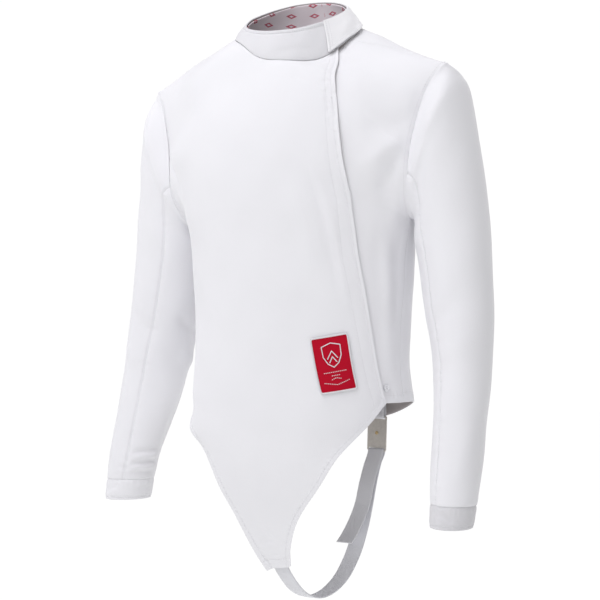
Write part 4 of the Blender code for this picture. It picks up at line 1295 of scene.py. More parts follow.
def wrist_folds() -> list[Relief]:
    """Three stacked wrinkles on the right under-sleeve, just above its cuff."""
    rows = [(6.62, -0.0022), (6.76, 0.0016), (6.90, -0.0024), (7.03, 0.0018), (7.17, -0.0022)]
    folds = []
    for ring, height in rows:
        places = line((123, ring + 0.03), (160, ring), (200, ring - 0.02))
        folds.append(Relief(places, height, 0.0036, fade=0.2))
    return folds


@dataclass(frozen=True)
class Cut:
    """How a cloth piece is cut: its flat width, length and area."""

    width: float
    length: float
    area: float


@dataclass
class SubAssembly:
    """What every part of the jacket shares.

    Attributes:
        materials: The jacket's materials.
        stitch_group: The Geometry Nodes group that makes stitches.
    """

    materials: Materials
    stitch_group: bpy.types.NodeTree

    def build(self) -> None:
        """Build this part's pieces."""
        raise NotImplementedError

    def finish(self, node: bpy.types.Object, solid: str, slot: str, sheet: bool = True) -> None:
        """Hide the plain solid that a piece replaces, and log how many faces the piece has."""
        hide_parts(solid)
        log.info("%s: %d faces", node.name, len(node.data.polygons))

    def stitching(self, name: str, **sizes: float) -> Stitching:
        """A fresh set of stitches in the sewing thread."""
        return Stitching(name, self.materials.thread, **sizes)

    @staticmethod
    def seam_reliefs(edge: np.ndarray) -> list[Relief]:
        """The groove and the small ripples beside a sewn edge."""
        return [
            Relief(edge, -0.0005, 0.0018, Shape.SEAM, fade=0),
            Relief(edge, 0.00022, 0.0070, Shape.PUCKER, fade=0, pitch=0.0105),
        ]

    @staticmethod
    def hem_reliefs(surface: Surface, edge: np.ndarray, distance: float) -> list[Relief]:
        """A turned hem: a raised band, the dip of its stitches and slight puckers.

        Args:
            surface: The surface that the edge is on.
            edge: The edge, as a line of places.
            distance: How far in the hem is stitched, signed as for inset.

        Returns:
            The hem's reliefs.
        """
        stitched = inset(surface, edge, distance)
        return [
            Relief(edge, 0.0007, abs(distance) * 1.12, Shape.STEP, fade=0),
            Relief(stitched, -0.00055, 0.0016, Shape.FOLD, fade=0.01),
            Relief(stitched, 0.00030, 0.0045, Shape.PUCKER, fade=0.02, pitch=0.0085),
        ]


@dataclass
class Body(SubAssembly):
    """The two fronts and the back.

    Attributes:
        topstitch: How far from an armhole its stitches run, in metres.
        placket_hem: Width of the crossing edge's hem.
        tongue_left_hem: Width of the hem down the tongue's left edge.
        tongue_right_hem: Width of the hem down its right edge.
        tip_hem: Width of the hem across its tip.
        left_hem: Width of the left front's hem.
        back_hem: Width of the back's hem.
    """

    topstitch: float = 0.0035
    placket_hem: float = 0.0045
    tongue_left_hem: float = 0.0060
    tongue_right_hem: float = 0.0085
    tip_hem: float = 0.0070
    left_hem: float = 0.0090
    back_hem: float = 0.0120

    def build(self) -> None:
        """Build the three panels."""
        self.front_right()
        self.front_left()
        self.back()

    def front_right(self) -> None:
        """The right front, which crosses to the left hip and runs down to the tongue."""
        rows = np.unique(np.append(body_rows(TIP_ROW, 320), PLACKET[0, 0]))
        right = grid(rows, -(1 - SEAM_ACROSS) * (1 - crowded(84, 1.25, 1.0)))
        left_rows = rows[rows >= PLACKET[0, 0]]
        left = grid(left_rows, crowded(64, 1.0, 1.35) * placket(left_rows)[:, None])
        edges = front_edges()
        hems = {
            "placket": self.placket_hem,
            "tongue_left": self.tongue_left_hem,
            "tongue_right": -self.tongue_right_hem,
            "tip": -self.tip_hem,
        }
        reliefs = front_right_folds()
        for name, distance in hems.items():
            reliefs += self.hem_reliefs(front, edges[name], distance)
        reliefs += self.seam_reliefs(edges["side"]) + self.seam_reliefs(edges["armhole"])
        facing = inset(front, along_edge(placket, 0.9, HEM_ROW, 120), self.facing_width(120))
        reliefs.append(Relief(facing, -0.0004, 0.0018, fade=0.02))
        reliefs.append(Relief(facing[:48], 0.00045, 0.0060, Shape.PUCKER, fade=0.1, pitch=0.0125))
        reliefs.append(Relief(facing[48:], 0.00035, 0.0055, Shape.PUCKER, fade=0.1, pitch=0.013))
        sewn = [edges["side"], edges["armhole"], along_edge(-0.0, SEAM_ROW, NECK_ROW, 40)]
        panel = Panel(
            "front_right_cloth", front, [right, left], 1, reliefs=reliefs, fair=by_neck, sewn=sewn
        )
        node = panel.build(self.materials.white, self.materials.inside)
        self.finish(node, "front_right", "white_cloth")
        sewing = self.stitching("front_right_stitches")
        sewing.run(panel, facing)
        for name, distance in hems.items():
            stitched = inset(front, edges[name], distance)
            sewing.run(panel, stitched[3:-3] if name == "tip" else stitched)
        sewing.run(panel, inset(front, edges["armhole"], -self.topstitch)[2:-2])
        sewing.build(self.stitch_group)

    @staticmethod
    def facing_width(count: int) -> np.ndarray:
        """How far in from the crossing edge its facing is sewn, down the edge."""
        return np.interp(np.linspace(0, 1, count), [0, 0.3, 0.75, 1], [0.011, 0.013, 0.020, 0.017])

    def front_left(self) -> None:
        """The narrow left front, whose inner edge lies under the right one."""
        rows = body_rows(HEM_ROW, 190)
        first = np.maximum(placket(rows) - UNDERLAP, 0)
        first[rows < PLACKET[0, 0]] = 0
        last = 1 - SEAM_ACROSS
        share = crowded(80, 1.1, 1.25)
        places = grid(rows, first[:, None] + share * (last - first)[:, None])
        side = along_edge(last, UNDERARM_ROW, HEM_ROW)
        arm = along_edge(last, SEAM_ROW, UNDERARM_ROW, 140)
        hem = np.stack([np.linspace(PLACKET_END - 0.1, last, 50), np.full(50, HEM_ROW)], -1)
        reliefs = front_left_folds()
        reliefs += self.seam_reliefs(side) + self.seam_reliefs(arm)
        reliefs += self.hem_reliefs(front, hem, -self.left_hem)
        panel = Panel(
            "front_left_cloth", front, [places], 1, reliefs=reliefs, stand_off=underlap,
            fair=by_neck, sewn=[side, arm],
        )  # fmt: skip
        node = panel.build(self.materials.white, self.materials.inside)
        self.finish(node, "front_left", "white_cloth")
        sewing = self.stitching("front_left_stitches")
        sewing.run(panel, inset(front, hem, -self.left_hem))
        sewing.run(panel, inset(front, arm, self.topstitch)[2:-2])
        sewing.build(self.stitch_group)

    def back(self) -> None:
        """The back, in one piece from side seam to side seam."""
        rows = body_rows(HEM_ROW, 190)
        half = (1 - SEAM_ACROSS) * (1 - crowded(78, 1.25, 1.0))
        right, left = grid(rows, -half), grid(rows, half[::-1])
        reliefs = back_folds()
        sewing = self.stitching("back_stitches")
        hem_right = np.stack([np.linspace(-1 + SEAM_ACROSS, -1e-6, 60), np.full(60, HEM_ROW)], -1)
        hem_left = np.stack([np.linspace(0, 1 - SEAM_ACROSS, 60), np.full(60, HEM_ROW)], -1)
        hem = np.concatenate([hem_right, hem_left])
        reliefs += self.hem_reliefs(back, hem, -self.back_hem)
        lines = [inset(back, hem, -self.back_hem)]
        sewn = []
        for side in (-1, 1):
            edge = side * (1 - SEAM_ACROSS)
            arm = along_edge(edge, SEAM_ROW, UNDERARM_ROW, 140)
            down = along_edge(edge, UNDERARM_ROW, HEM_ROW)
            reliefs += self.seam_reliefs(down) + self.seam_reliefs(arm)
            sewn += [down, arm, along_edge(side * 0.0, SEAM_ROW, NECK_ROW, 40)]
            lines.append(inset(back, arm, side * self.topstitch)[2:-2])
        panel = Panel(
            "back_cloth", back, [right, left], -1, reliefs=reliefs, fair=by_neck, sewn=sewn
        )
        node = panel.build(self.materials.white, self.materials.inside)
        self.finish(node, "back", "white_cloth")
        for places in lines:
            sewing.run(panel, places)
        sewing.build(self.stitch_group)


@dataclass
class Sleeve(SubAssembly):
    """One sleeve: its upper and under cloth, and its cuff.

    Attributes:
        side: Which of the wearer's sides it is on.
        topstitch: How far from the front seam its stitches run, in metres.
        end_hem: How far from the cuff's edge its stitches run, in rings.
    """

    side: Side = Side.LEFT
    topstitch: float = 0.0030
    end_hem: float = 0.075

    def build(self) -> None:
        """Build the sleeve and its cuff."""
        side = self.side.value
        surface = sleeve if self.side is Side.LEFT else mirror(sleeve)
        sign = -1 if self.side is Side.LEFT else 1
        rings = np.concatenate([np.linspace(0, 3, 60)[:-1], np.linspace(3, CUFF_START, 110)])
        spans = {"upper": (BACK_SEAM - 360, FRONT_SEAM, 66), "under": (FRONT_SEAM, BACK_SEAM, 44)}
        sewing = self.stitching(f"sleeve_{side}_stitches")
        for piece, (first, last, count) in spans.items():
            first, last = first + SEAM_DEGREES, last - SEAM_DEGREES
            angles = first + (last - first) * crowded(count, 1.25, 1.25)
            reliefs = sleeve_folds(self.side)
            if self.side is Side.RIGHT and piece == "under":
                reliefs += wrist_folds()
            for edge in (first, last):
                seam = along_edge(edge, 0.02, CUFF_START, 110)
                reliefs.append(Relief(seam, -0.0011, 0.0026, Shape.SEAM, fade=0))
                reliefs.append(Relief(seam, 0.00045, 0.0090, Shape.PUCKER, fade=0, pitch=0.015))
            ends = []
            for ring, depth in ((0.0, 0.0004), (CUFF_START, -0.0004)):
                ends.append(np.stack([np.linspace(first, last, 60), np.full(60, ring)], -1))
                reliefs.append(Relief(ends[-1], depth, 0.0022, Shape.SEAM, fade=0))
            panel = Panel(
                f"sleeve_{side}_{piece}_cloth", surface, [grid(rings, angles)], sign,
                reliefs=reliefs, sewn=ends,
            )  # fmt: skip
            node = panel.build(self.materials.white, self.materials.inside)
            self.finish(node, f"sleeve_{side}_{piece}", "white_cloth")
            if piece == "upper":
                edge = along_edge(last, 0.15, CUFF_START, 120)
                sewing.run(panel, inset(surface, edge, self.topstitch))
        self.cuff(surface, sign, sewing)
        sewing.build(self.stitch_group)

    def cuff(self, surface: Surface, sign: int, sewing: Stitching) -> None:
        """The sleeve's end: a soft band with a stitched edge.

        Args:
            surface: The sleeve's surface.
            sign: Which way its faces turn.
            sewing: The sleeve's stitches, which the cuff's are added to.
        """
        rings = np.linspace(CUFF_START + CUFF_GAP, CUFF_END, 34)
        places = grid(rings, np.linspace(0, 360, 161))
        around = np.linspace(0, 360, 120)

        def loop(ring: float) -> np.ndarray:
            """A line all round the sleeve."""
            return np.stack([around, np.full(120, ring)], -1)

        reliefs = [
            Relief(loop(CUFF_START + CUFF_GAP), -0.0013, 0.0030, Shape.SEAM, fade=0),
            Relief(loop(CUFF_END), -0.0010, 0.0022, Shape.SEAM, fade=0),
            Relief(loop(CUFF_END - self.end_hem), -0.0006, 0.0014, fade=0),
            Relief(loop(CUFF_START + 0.12), 0.00035, 0.0060, Shape.PUCKER, fade=0, pitch=0.0075),
            Relief(line((150, 7.72), (185, 7.66), (215, 7.70)), -0.0010, 0.0026),
            Relief(line((60, 7.84), (85, 7.66), (112, 7.58)), -0.0011, 0.0042),
            Relief(line((75, 7.86), (98, 7.72), (125, 7.70)), 0.0008, 0.0046),
            Relief(line((255, 7.60), (290, 7.72), (330, 7.74)), -0.0009, 0.0040),
        ]
        name = f"cuff_{self.side.value}"
        panel = Panel(f"{name}_cloth", surface, [places], sign, reliefs=reliefs, slow=0.0003)
        # The left cuff takes the darker cloth as painted shade; the right cuff takes the plain
        # white.
        cloth = self.materials.cuff if self.side is Side.LEFT else self.materials.white
        node = panel.build(cloth, self.materials.inside)
        self.finish(node, name, "white_cloth")
        sewing.run(panel, loop(CUFF_END - self.end_hem))


@dataclass
class Collar(SubAssembly):
    """The stand collar, its printed lining and the tab that closes it.

    Attributes:
        hem: Width of the upper edge's hem, in metres.
        lining_low: Where the lining starts, as a share of the collar's height.
        lining_top: Where it ends.
        tab_low: Where the tab starts.
        tab_rows: How far from the tab's front edge its stitches run, in metres.
        slow: Height of the collar's unevenness, in metres.
        slow_length: The longest wave of that.
    """

    hem: float = 0.0040
    lining_low: float = 0.06
    lining_top: float = 0.97
    tab_low: float = 0.03
    tab_rows: tuple[float, float] = (0.0025, 0.0060)
    slow: float = 0.0005
    slow_length: float = 0.09

    def build(self) -> None:
        """Build the collar's three pieces."""
        first, last = COLLAR_SLIT + SEAM_DEGREES, COLLAR_SLIT + 360 - SEAM_DEGREES
        around = np.linspace(first, last, 220)
        sizes = {"pitch": 0.0030, "length": 0.0023, "thickness": 0.0006}
        sewing = self.stitching("collar_stitches", **sizes)
        top = np.stack([np.linspace(first, last, 180), np.full(180, 1.0)], -1)
        base = np.stack([np.linspace(first, last, 180), np.zeros(180)], -1)
        reliefs = self.hem_reliefs(collar, top, -self.hem)
        reliefs += self.seam_reliefs(base)
        folds = [
            ((-60, 0.15), (-35, 0.35), (-5, 0.42), -0.0012, 0.007),
            ((-80, 0.62), (-50, 0.55), (-20, 0.66), 0.0009, 0.008),
            ((10, 0.20), (35, 0.34), (60, 0.30), -0.0010, 0.006),
            ((120, 0.30), (160, 0.42), (200, 0.34), -0.0014, 0.008),
            ((180, 0.70), (220, 0.60), (255, 0.70), 0.0010, 0.008),
        ]
        for *places, height, width in folds:
            at = [(angle if angle > first else angle + 360, rise) for angle, rise in places]
            reliefs.append(Relief(line(*at), height, width))
        places = grid(np.linspace(0, 1, 38), around)
        panel = Panel(
            "collar_cloth", collar, [places], -1, reliefs=reliefs,
            slow=self.slow, slow_length=self.slow_length,
        )  # fmt: skip
        # The collar's outside takes the darker cloth, painted shade.
        node = panel.build(self.materials.collar, self.materials.inside)
        self.finish(node, "collar", "white_cloth")
        sewing.run(panel, inset(collar, top, -self.hem))
        self.lining(around)
        self.tab(sewing)
        sewing.build(self.stitch_group)

    def lining(self, around: np.ndarray) -> None:
        """The lining inside the collar, at angles all round from slit to slit."""
        places = grid(np.linspace(self.lining_low, self.lining_top, 22), around)
        panel = Panel(
            "collar_lining_cloth", collar, [places], -1, LINING,
            slow=self.slow, slow_length=self.slow_length,
            stand_off=lambda at: np.full(len(at), -CLOTH - COLLAR_GAP),
        )  # fmt: skip
        node = panel.build(self.materials.lining, self.materials.lining)
        marks = read_points(node.data)
        turn = np.arctan2(marks[:, 0], -marks[:, 1])
        flat = np.stack([turn * COLLAR_TOP_RADIUS, marks[:, 2], np.zeros(len(marks))], -1)
        store = node.data.attributes.new("print_place", "FLOAT_VECTOR", "POINT")
        store.data.foreach_set("vector", flat.astype(np.float32).ravel())
        self.finish(node, "collar_lining", "grey_lining")

    def tab(self, sewing: Stitching) -> None:
        """The tab that closes the collar, of brushed cloth, flaring out at its foot."""
        places = grid(np.linspace(self.tab_low, 1, 34), np.linspace(TAB_START, TAB_END, 52))

        def stand_off(at: np.ndarray) -> np.ndarray:
            """How far the tab stands off the collar's surface."""
            return CLOTH + COLLAR_GAP + TAB_FLARE * (1 - at[:, 1]) ** 2

        start = np.stack([np.full(30, TAB_START), np.linspace(0.97, 0.06, 30)], -1)
        foot = np.stack([np.linspace(TAB_START, TAB_END, 40), np.full(40, self.tab_low)], -1)
        reliefs = [
            Relief(foot, 0.0006, 0.0040, Shape.STEP, fade=0),
            Relief(inset(collar, start, 0.0035), -0.0005, 0.0012, fade=0),
            Relief(line((74, 0.2), (90, 0.5), (100, 0.8)), 0.0010, 0.006),
            Relief(line((96, 0.2), (108, 0.45), (112, 0.8)), -0.0009, 0.005),
        ]
        panel = Panel(
            "collar_tab_cloth", collar, [places], -1, reliefs=reliefs, stand_off=stand_off,
            slow=0.0002,
        )  # fmt: skip
        node = panel.build(self.materials.terry, self.materials.inside)
        self.finish(node, "collar_tab", "white_cloth")
        for gap in self.tab_rows:
            sewing.run(panel, inset(collar, start, gap))
        sewing.run(panel, inset(collar, foot, self.hem))


@dataclass
class Label(SubAssembly):
    """The red patch, its white border and a plain shield, all embroidered.

    Attributes:
        rise: How far the patch's face stands off the front's own form, in metres.
        border: Pitch, length and thickness of the border's stitches.
        motif: The same for the shield and the chevrons.
        dashes: The same for the bars below them.
    """

    rise: float = PATCH_GAP + LABEL_THICK + 0.0006
    border: tuple[float, float, float] = (0.0007, 0.0013, 0.0026)
    motif: tuple[float, float, float] = (0.0006, 0.0012, 0.0014)
    dashes: tuple[float, float, float] = (0.0022, 0.0015, 0.0013)

    @staticmethod
    def patch(
        centre: tuple[float, float], size: tuple[float, float], turn: float
    ) -> Callable[[np.ndarray], np.ndarray]:
        """A flat rectangle's own metres, as places on the front.

        Args:
            centre: The patch's middle, across and row.
            size: Its width and height in metres.
            turn: How far it is turned in its own plane, in degrees.

        Returns:
            A function from shares of the size, -0.5 to 0.5 each way, to places.
        """
        ways = tangents(front, *np.array(centre)[:, None])
        right, down = (way[0] for way in ways)
        level = right / np.linalg.norm(right)
        fall = down - level * (down @ level)
        fall /= np.linalg.norm(fall)
        angle = math.radians(turn)
        wide = level * math.cos(angle) - fall * math.sin(angle)
        tall = level * math.sin(angle) + fall * math.cos(angle)
        to_places = np.linalg.pinv(np.stack([right, down], -1))

        def at(shares: np.ndarray) -> np.ndarray:
            """Places on the front for shares of the size."""
            metres = shares * np.array(size)
            ways = metres[..., :1] * wide + metres[..., 1:] * tall
            return np.array(centre) + ways @ to_places.T

        return at

    def build(self) -> None:
        """Build the patch and its embroidery."""
        at = self.patch(LABEL_CENTRE, LABEL_SIZE, LABEL_TURN)
        columns, rows = np.linspace(-0.5, 0.5, 40), np.linspace(-0.5, 0.5, 56)
        shares = np.stack(np.meshgrid(columns, rows), -1)
        panel = Panel(
            "label_cloth", front, [at(shares)], 1, LABEL_THICK, front_right_folds(),
            stand_off=lambda places: np.full(len(places), self.rise),
        )  # fmt: skip
        node = panel.build(self.materials.red, self.materials.red)
        self.finish(node, "label", "red_label")
        border = [(-0.51, -0.47), (-0.48, -0.507), (0.48, -0.507), (0.51, -0.47)]
        border += [(-x, -y) for x, y in border] + [border[0]]
        shield = [(-0.26, -0.34), (0.0, -0.39), (0.26, -0.34)]
        shield += [(0.25, -0.16), (0.15, -0.03), (0.0, 0.04)]
        shield += [(-x, y) for x, y in shield[-2:2:-1]] + [shield[0]]
        chevrons = [
            [(-0.14, -0.12), (0.0, -0.25), (0.14, -0.12)],
            [(-0.10, -0.05), (0.0, -0.15), (0.10, -0.05)],
        ]
        bars = [
            [(-0.30, 0.125), (0.30, 0.125)],
            [(-0.10, 0.19), (0.10, 0.19)],
            [(-0.12, 0.26), (0.0, 0.235), (0.12, 0.26)],
            [(-0.34, 0.31), (0.0, 0.37), (0.34, 0.31)],
        ]
        rows = [
            ("label_border", self.border, [border]),
            ("label_motif", self.motif, [shield, *chevrons]),
            ("label_dashes", self.dashes, bars),
        ]
        for name, sizes, shapes in rows:
            sewing = Stitching(name, self.materials.emblem, *sizes)
            for shape in shapes:
                self.embroider(sewing, panel, at, shape)
            sewing.build(self.stitch_group)

    @staticmethod
    def embroider(sewing: Stitching, panel: Panel, at: Callable, corners: list) -> None:
        """Lay a line of close stitches on the patch.

        Args:
            sewing: The stitches that the line is added to.
            panel: The patch.
            at: Turns shares of the patch's size into places.
            corners: The line's corners, as such shares.
        """
        corners = np.array(corners, float)
        knots = np.arange(len(corners))
        fine = np.linspace(0, len(corners) - 1, 24 * (len(corners) - 1) + 1)
        shares = np.stack([np.interp(fine, knots, corners[:, axis]) for axis in (0, 1)], -1)
        sewing.run(panel, at(shares), 0.0002)


def read_points(mesh: bpy.types.Mesh) -> np.ndarray:
    """A mesh's points, one row each."""
    points = np.empty((len(mesh.vertices), 3), np.float32)
    mesh.vertices.foreach_get("co", points.ravel())
    return points


@dataclass
class Snap(SubAssembly):
    """The snap beside the crossing edge."""

    def build(self) -> None:
        """Build a low domed cap with a rolled rim and a dimple."""
        place = np.array([SNAP_PLACE])
        way = way_out(front, place[:, 0], place[:, 1], 1)[0]
        centre = front(place[:, 0], place[:, 1])[0] + way * underlap(place)[0]
        profile = [
            (0.0, 0.35), (0.25, 0.38), (0.45, 0.85), (0.66, 1.0), (0.80, 0.82), (0.86, 0.55),
            (0.96, 0.60), (1.0, 0.45), (0.97, 0.0), (0.0, 0.0),
        ]  # fmt: skip
        size, foot = (SNAP_RADIUS, SNAP_THICK), centre + way * PATCH_GAP
        node = stud("snap_cap", foot, way, profile, size, self.materials.snap)
        self.finish(node, "snap", "satin_metal", sheet=False)


def stud(
    name: str,
    foot: np.ndarray,
    way: np.ndarray,
    profile: list[tuple[float, float]],
    size: tuple[float, float],
    material: bpy.types.Material,
) -> bpy.types.Object:
    """A turned stud that stands on a point.

    Args:
        name: The object's name.
        foot: The point that it stands on.
        way: The unit way that its axis points.
        profile: Shares of the radius and the height, from the top's middle to the foot's.
        size: Its radius and height in metres.
        material: Its finish.

    Returns:
        The stud's object.
    """
    knots = np.arange(len(profile))
    rows = smooth(knots, np.array(profile), np.linspace(0, knots[-1], 46))
    rows = np.maximum(rows, 0) * np.array(size)
    side = np.cross(way, [0, 0, 1.0])
    side /= np.linalg.norm(side)
    up = np.cross(side, way)
    turns = np.linspace(0, 2 * np.pi, 41)[:-1]
    ring = np.cos(turns)[:, None] * side + np.sin(turns)[:, None] * up
    points = foot + rows[:, None, :1] * ring + rows[:, None, 1:] * way
    return mesh_object(name, points.reshape(-1, 3), ring_faces(*points.shape[:2]), [material])


@dataclass
class Straps(SubAssembly):
    """The crotch strap and the short loop inside the back hem.

    Attributes:
        row_length: The length of one row of the webbing's faces, in metres.
    """

    row_length: float = 0.0012

    def webbing(self, name: str, path: np.ndarray, sign: int, solid: str) -> None:
        """A strap of webbing, with its ribs' places stored.

        Args:
            name: The piece's name.
            path: The middle line of its outer face.
            sign: Which way its faces turn.
            solid: The plain solid that it stands for.
        """
        surface = ribbon(path)
        last = len(path) - 1
        lengths = np.append(0, np.cumsum(np.linalg.norm(np.diff(path, axis=0), axis=1)))
        even = np.linspace(0, lengths[-1], int(lengths[-1] / self.row_length))
        rows = np.interp(even, lengths, range(last + 1))
        half = STRAP_WIDTH / 2
        places = grid(rows, np.linspace(-half, half, 21))
        edges = [along_edge(side * half, 0, last, 200) for side in (-1, 1)]
        reliefs = [Relief(edge, -0.0003, 0.0016, Shape.SEAM, fade=0) for edge in edges]
        panel = Panel(name, surface, [places], sign, WEBBING, reliefs, slow=0.0)
        node = panel.build(self.materials.webbing, self.materials.webbing)
        marks = read_points(node.data)
        flat = np.stack([marks[:, 0], marks[:, 2] - marks[:, 1], np.zeros(len(marks))], -1)
        stored = node.data.attributes["cloth_place"].data
        stored.foreach_set("vector", flat.astype(np.float32).ravel())
        self.finish(node, solid, "grey_webbing")

    def build(self) -> None:
        """The crotch strap, through the buckle and down again, and the back hem's loop."""
        sewn_rows = np.linspace(TIP_ROW - STRAP_SEWN, TIP_ROW, 3)
        ways = way_out(front, np.zeros(3), sewn_rows, 1)
        behind = front(np.zeros(3), sewn_rows) - ways * (CLOTH + STRAP_GAP)
        fold = bend(BUCKLE_LOW, 0, 180)
        path = np.vstack([behind, STRAP, fold, STRAP_END])
        self.webbing("strap_webbing", path, 1, "strap")
        bar = buckle_point(BUCKLE_HEIGHT - BUCKLE_BAR)
        arc = bend(bar, 0, -180)
        above = [[*arc[0][:2], LOOP_TOP_Z], [*arc[0][:2], (LOOP_TOP_Z + bar[2]) / 2]]
        after = [[*arc[-1][:2], point[2]] for point in reversed(above)]
        self.webbing("strap_loop_webbing", np.vstack([above, arc, after]), -1, "strap_loop")


@dataclass
class Buckle(SubAssembly):
    """A pressed plate with rounded edges, two slots and a rivet.

    Attributes:
        edge: How far its edges are rounded, in metres.
        slot_share: How much of the solid's slots the pressed ones keep.
        corner: Radius of the plate's corners.
        slot_corner: Radius of the slots' corners.
    """

    edge: float = 0.0004
    slot_share: float = 0.75
    corner: float = 0.0022
    slot_corner: float = 0.0009

    def build(self) -> None:
        """Build the plate and the rivet."""
        shape = bpy.data.curves.new("buckle_outline", "CURVE")
        shape.dimensions = "2D"
        shape.fill_mode = "BOTH"
        pressed = self.slot_share * BUCKLE_SLOT
        inset_slot = BUCKLE_BAR + pressed / 2
        slot = (BUCKLE_WIDTH - 2 * BUCKLE_RAIL, pressed)
        outlines = [
            ((BUCKLE_WIDTH, BUCKLE_HEIGHT), BUCKLE_HEIGHT / 2, self.corner),
            (slot, inset_slot, self.slot_corner),
            (slot, BUCKLE_HEIGHT - inset_slot, self.slot_corner),
        ]
        for (width, height), middle, corner in outlines:
            grow = -self.edge if width == BUCKLE_WIDTH else self.edge
            self.rounded(shape, width + 2 * grow, height + 2 * grow, middle, corner)
        shape.extrude = BUCKLE_THICK / 2 - self.edge
        shape.bevel_depth = self.edge
        shape.bevel_resolution = 3
        draft = bpy.data.objects.new("buckle_draft", shape)
        bpy.context.scene.collection.objects.link(draft)
        graph = bpy.context.evaluated_depsgraph_get()
        mesh = bpy.data.meshes.new_from_object(draft.evaluated_get(graph), depsgraph=graph)
        bpy.data.objects.remove(draft, do_unlink=True)
        flat = read_points(mesh)
        lean = math.radians(BUCKLE_LEAN)
        right = np.array([math.cos(lean), 0, -math.sin(lean)])
        up = np.array([math.sin(lean), 0, math.cos(lean)])
        start = buckle_point(-BUCKLE_BAR / 2)
        points = start + flat[:, :1] * right + flat[:, 1:2] * up + flat[:, 2:] * [0, -1, 0]
        mesh.vertices.foreach_set("co", points.astype(np.float32).ravel())
        mesh.materials.append(self.materials.metal)
        node = bpy.data.objects.new("buckle_plate", mesh)
        bpy.context.scene.collection.objects.link(node)
        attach(node, BODY)
        self.finish(node, "buckle", "satin_metal", sheet=False)
        profile = [
            (0.0, 0.9), (0.35, 0.85), (0.55, 0.45), (0.66, 0.30), (0.76, 0.85), (0.88, 1.0),
            (1.0, 0.6), (0.98, 0.0), (0.0, 0.0),
        ]  # fmt: skip
        face = np.array([0.0, -1.0, 0.0])
        foot = buckle_point(RIVET_HEIGHT) + face * (BUCKLE_THICK / 2 + RIVET_GAP)
        size = (RIVET_RADIUS, RIVET_THICK)
        head = stud("rivet_head", foot, face, profile, size, self.materials.rivet)
        self.finish(head, "buckle_rivet", "satin_metal", sheet=False)

    @staticmethod
    def rounded(
        shape: bpy.types.Curve, width: float, height: float, middle: float, corner: float
    ) -> None:
        """Add a rounded rectangle to a flat curve.

        Args:
            shape: The curve.
            width: The rectangle's width, in metres.
            height: Its height.
            middle: How high its middle is.
            corner: Its corners' radius.
        """
        turns = np.linspace(0, np.pi / 2, 6)
        places = []
        for quarter, (sx, sy) in enumerate([(1, 1), (-1, 1), (-1, -1), (1, -1)]):
            for turn in turns + quarter * np.pi / 2:
                x = sx * (width / 2 - corner) + corner * math.cos(turn)
                y = middle + sy * (height / 2 - corner) + corner * math.sin(turn)
                places.append((x, y, 0.0, 1.0))
        spline = shape.splines.new("POLY")
        spline.points.add(len(places) - 1)
        for point, place in zip(spline.points, places):
            point.co = place
        spline.use_cyclic_u = True


def ring_faces(rows: int, columns: int) -> np.ndarray:
    """The faces between rings of points, each ring closed on itself."""
    at = np.arange(rows * columns).reshape(rows, columns)
    beside = np.roll(at, -1, 1)
    return np.stack([at[:-1], at[1:], beside[1:], beside[:-1]], -1).reshape(-1, 4)


class Jacket:
    """The whole jacket, one sub-assembly after another."""

    def build(self) -> None:
        """Build every sub-assembly with the same materials and stitches."""
        shared = (Materials.make(), stitch_group())
        parts: list[SubAssembly] = [Body(*shared)]
        parts += [Sleeve(*shared, side) for side in Side]
        parts += [kind(*shared) for kind in (Collar, Label, Snap, Straps, Buckle)]
        for part in parts:
            part.build()


# ------------------------------------------------------------------ the studio


@dataclass(frozen=True)
class Lamp:
    """A soft rectangular lamp that looks at the jacket's middle."""

    name: str
    place: tuple[float, float, float]
    size: float
    power: float


LAMPS = [
    Lamp("front_lamp", (0.3, -2.6, 2.2), 1.6, 34.0),
    Lamp("left_lamp", (-1.0, -1.9, 2.5), 1.6, 20.0),
    Lamp("side_lamp", (-2.8, -0.5, 0.6), 1.6, 13.0),
    Lamp("top_lamp", (0.0, -0.5, 2.6), 1.6, 26.0),
    Lamp("fill_lamp", (1.5, -2.5, 0.9), 1.6, 9.0),
    Lamp("back_lamp", (0.4, 2.4, 1.6), 1.6, 24.0),
]
MIDDLE = (0.0, 0.0, -0.28)
CAMERA_TURN, CAMERA_DISTANCE, CAMERA_Z = 35.0, 2.05, -0.302
LENS, SENSOR, SHIFT = 93.1, 36.0, (0.010, 0.015)
FLOOR_Z = -1.25
LAMP_COLOUR = (0.995, 0.988, 1.015)


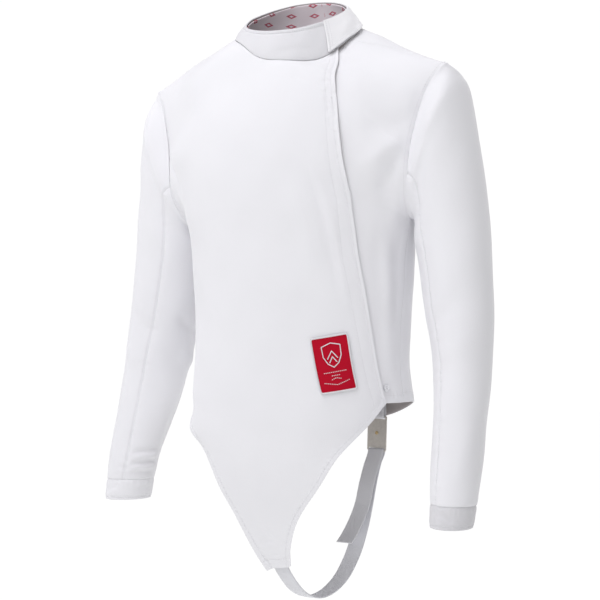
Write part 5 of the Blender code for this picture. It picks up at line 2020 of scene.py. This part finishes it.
class Studio:
    """The floor, the world, the lamps and the camera."""

    def build(self) -> None:
        """Set everything up."""
        self.floor()
        self.world()
        for lamp in LAMPS:
            self.lamp(lamp)
        self.camera()
        bpy.context.scene.view_settings.view_transform = "Standard"

    @staticmethod
    def floor() -> None:
        """A wide pale floor, lit evenly so that it meets the backdrop without a line."""
        half = 12.0
        mesh = bpy.data.meshes.new("floor")
        corners = [(-half, -half), (half, -half), (half, half), (-half, half)]
        mesh.from_pydata([(x, y, FLOOR_Z) for x, y in corners], [], [(0, 1, 2, 3)])
        make, shader, material = new_material("pale_floor")
        make.feed(shader, Base_Color=(0.12, 0.12, 0.12, 1), Roughness=0.9)
        shader.inputs["Emission Color"].default_value = (1, 1, 1, 1)
        shader.inputs["Emission Strength"].default_value = 0.97
        mesh.materials.append(material)
        floor = bpy.data.objects.new("floor", mesh)
        bpy.context.scene.collection.objects.link(floor)

    @staticmethod
    def world() -> None:
        """White to look at, and a dimmer even light on the jacket."""
        world = bpy.data.worlds.new("studio")
        world.use_nodes = True
        make = Nodes(world.node_tree)
        shown = world.node_tree.nodes["Background"]
        shown.inputs["Color"].default_value = (1, 1, 1, 1)
        path = make.add("ShaderNodeLightPath")
        strength = make.maths("MULTIPLY_ADD", path.outputs["Is Camera Ray"], 0.73, 0.29)
        make.feed(shown, Strength=strength)
        bpy.context.scene.world = world

    @staticmethod
    def lamp(lamp: Lamp) -> None:
        """Add one lamp."""
        light = bpy.data.lights.new(lamp.name, "AREA")
        light.size = lamp.size
        light.energy = lamp.power
        light.color = LAMP_COLOUR
        node = bpy.data.objects.new(lamp.name, light)
        node.location = lamp.place
        way = Vector(MIDDLE) - Vector(lamp.place)
        node.rotation_euler = way.to_track_quat("-Z", "Y").to_euler()
        bpy.context.scene.collection.objects.link(node)

    @staticmethod
    def camera() -> None:
        """A level camera in front and to the wearer's left."""
        turn = math.radians(CAMERA_TURN)
        camera = bpy.data.cameras.new("camera")
        camera.lens, camera.sensor_width = LENS, SENSOR
        camera.shift_x, camera.shift_y = SHIFT
        node = bpy.data.objects.new("camera", camera)
        aside, ahead = math.sin(turn) * CAMERA_DISTANCE, -math.cos(turn) * CAMERA_DISTANCE
        node.location = (aside, ahead, CAMERA_Z)
        node.rotation_euler = (math.pi / 2, 0, turn)
        bpy.context.scene.collection.objects.link(node)
        bpy.context.scene.camera = node


def main() -> None:
    """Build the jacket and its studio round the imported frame."""
    logging.basicConfig(level=logging.INFO)
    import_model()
    Studio().build()
    Jacket().build()


if __name__ == "__main__":
    main()
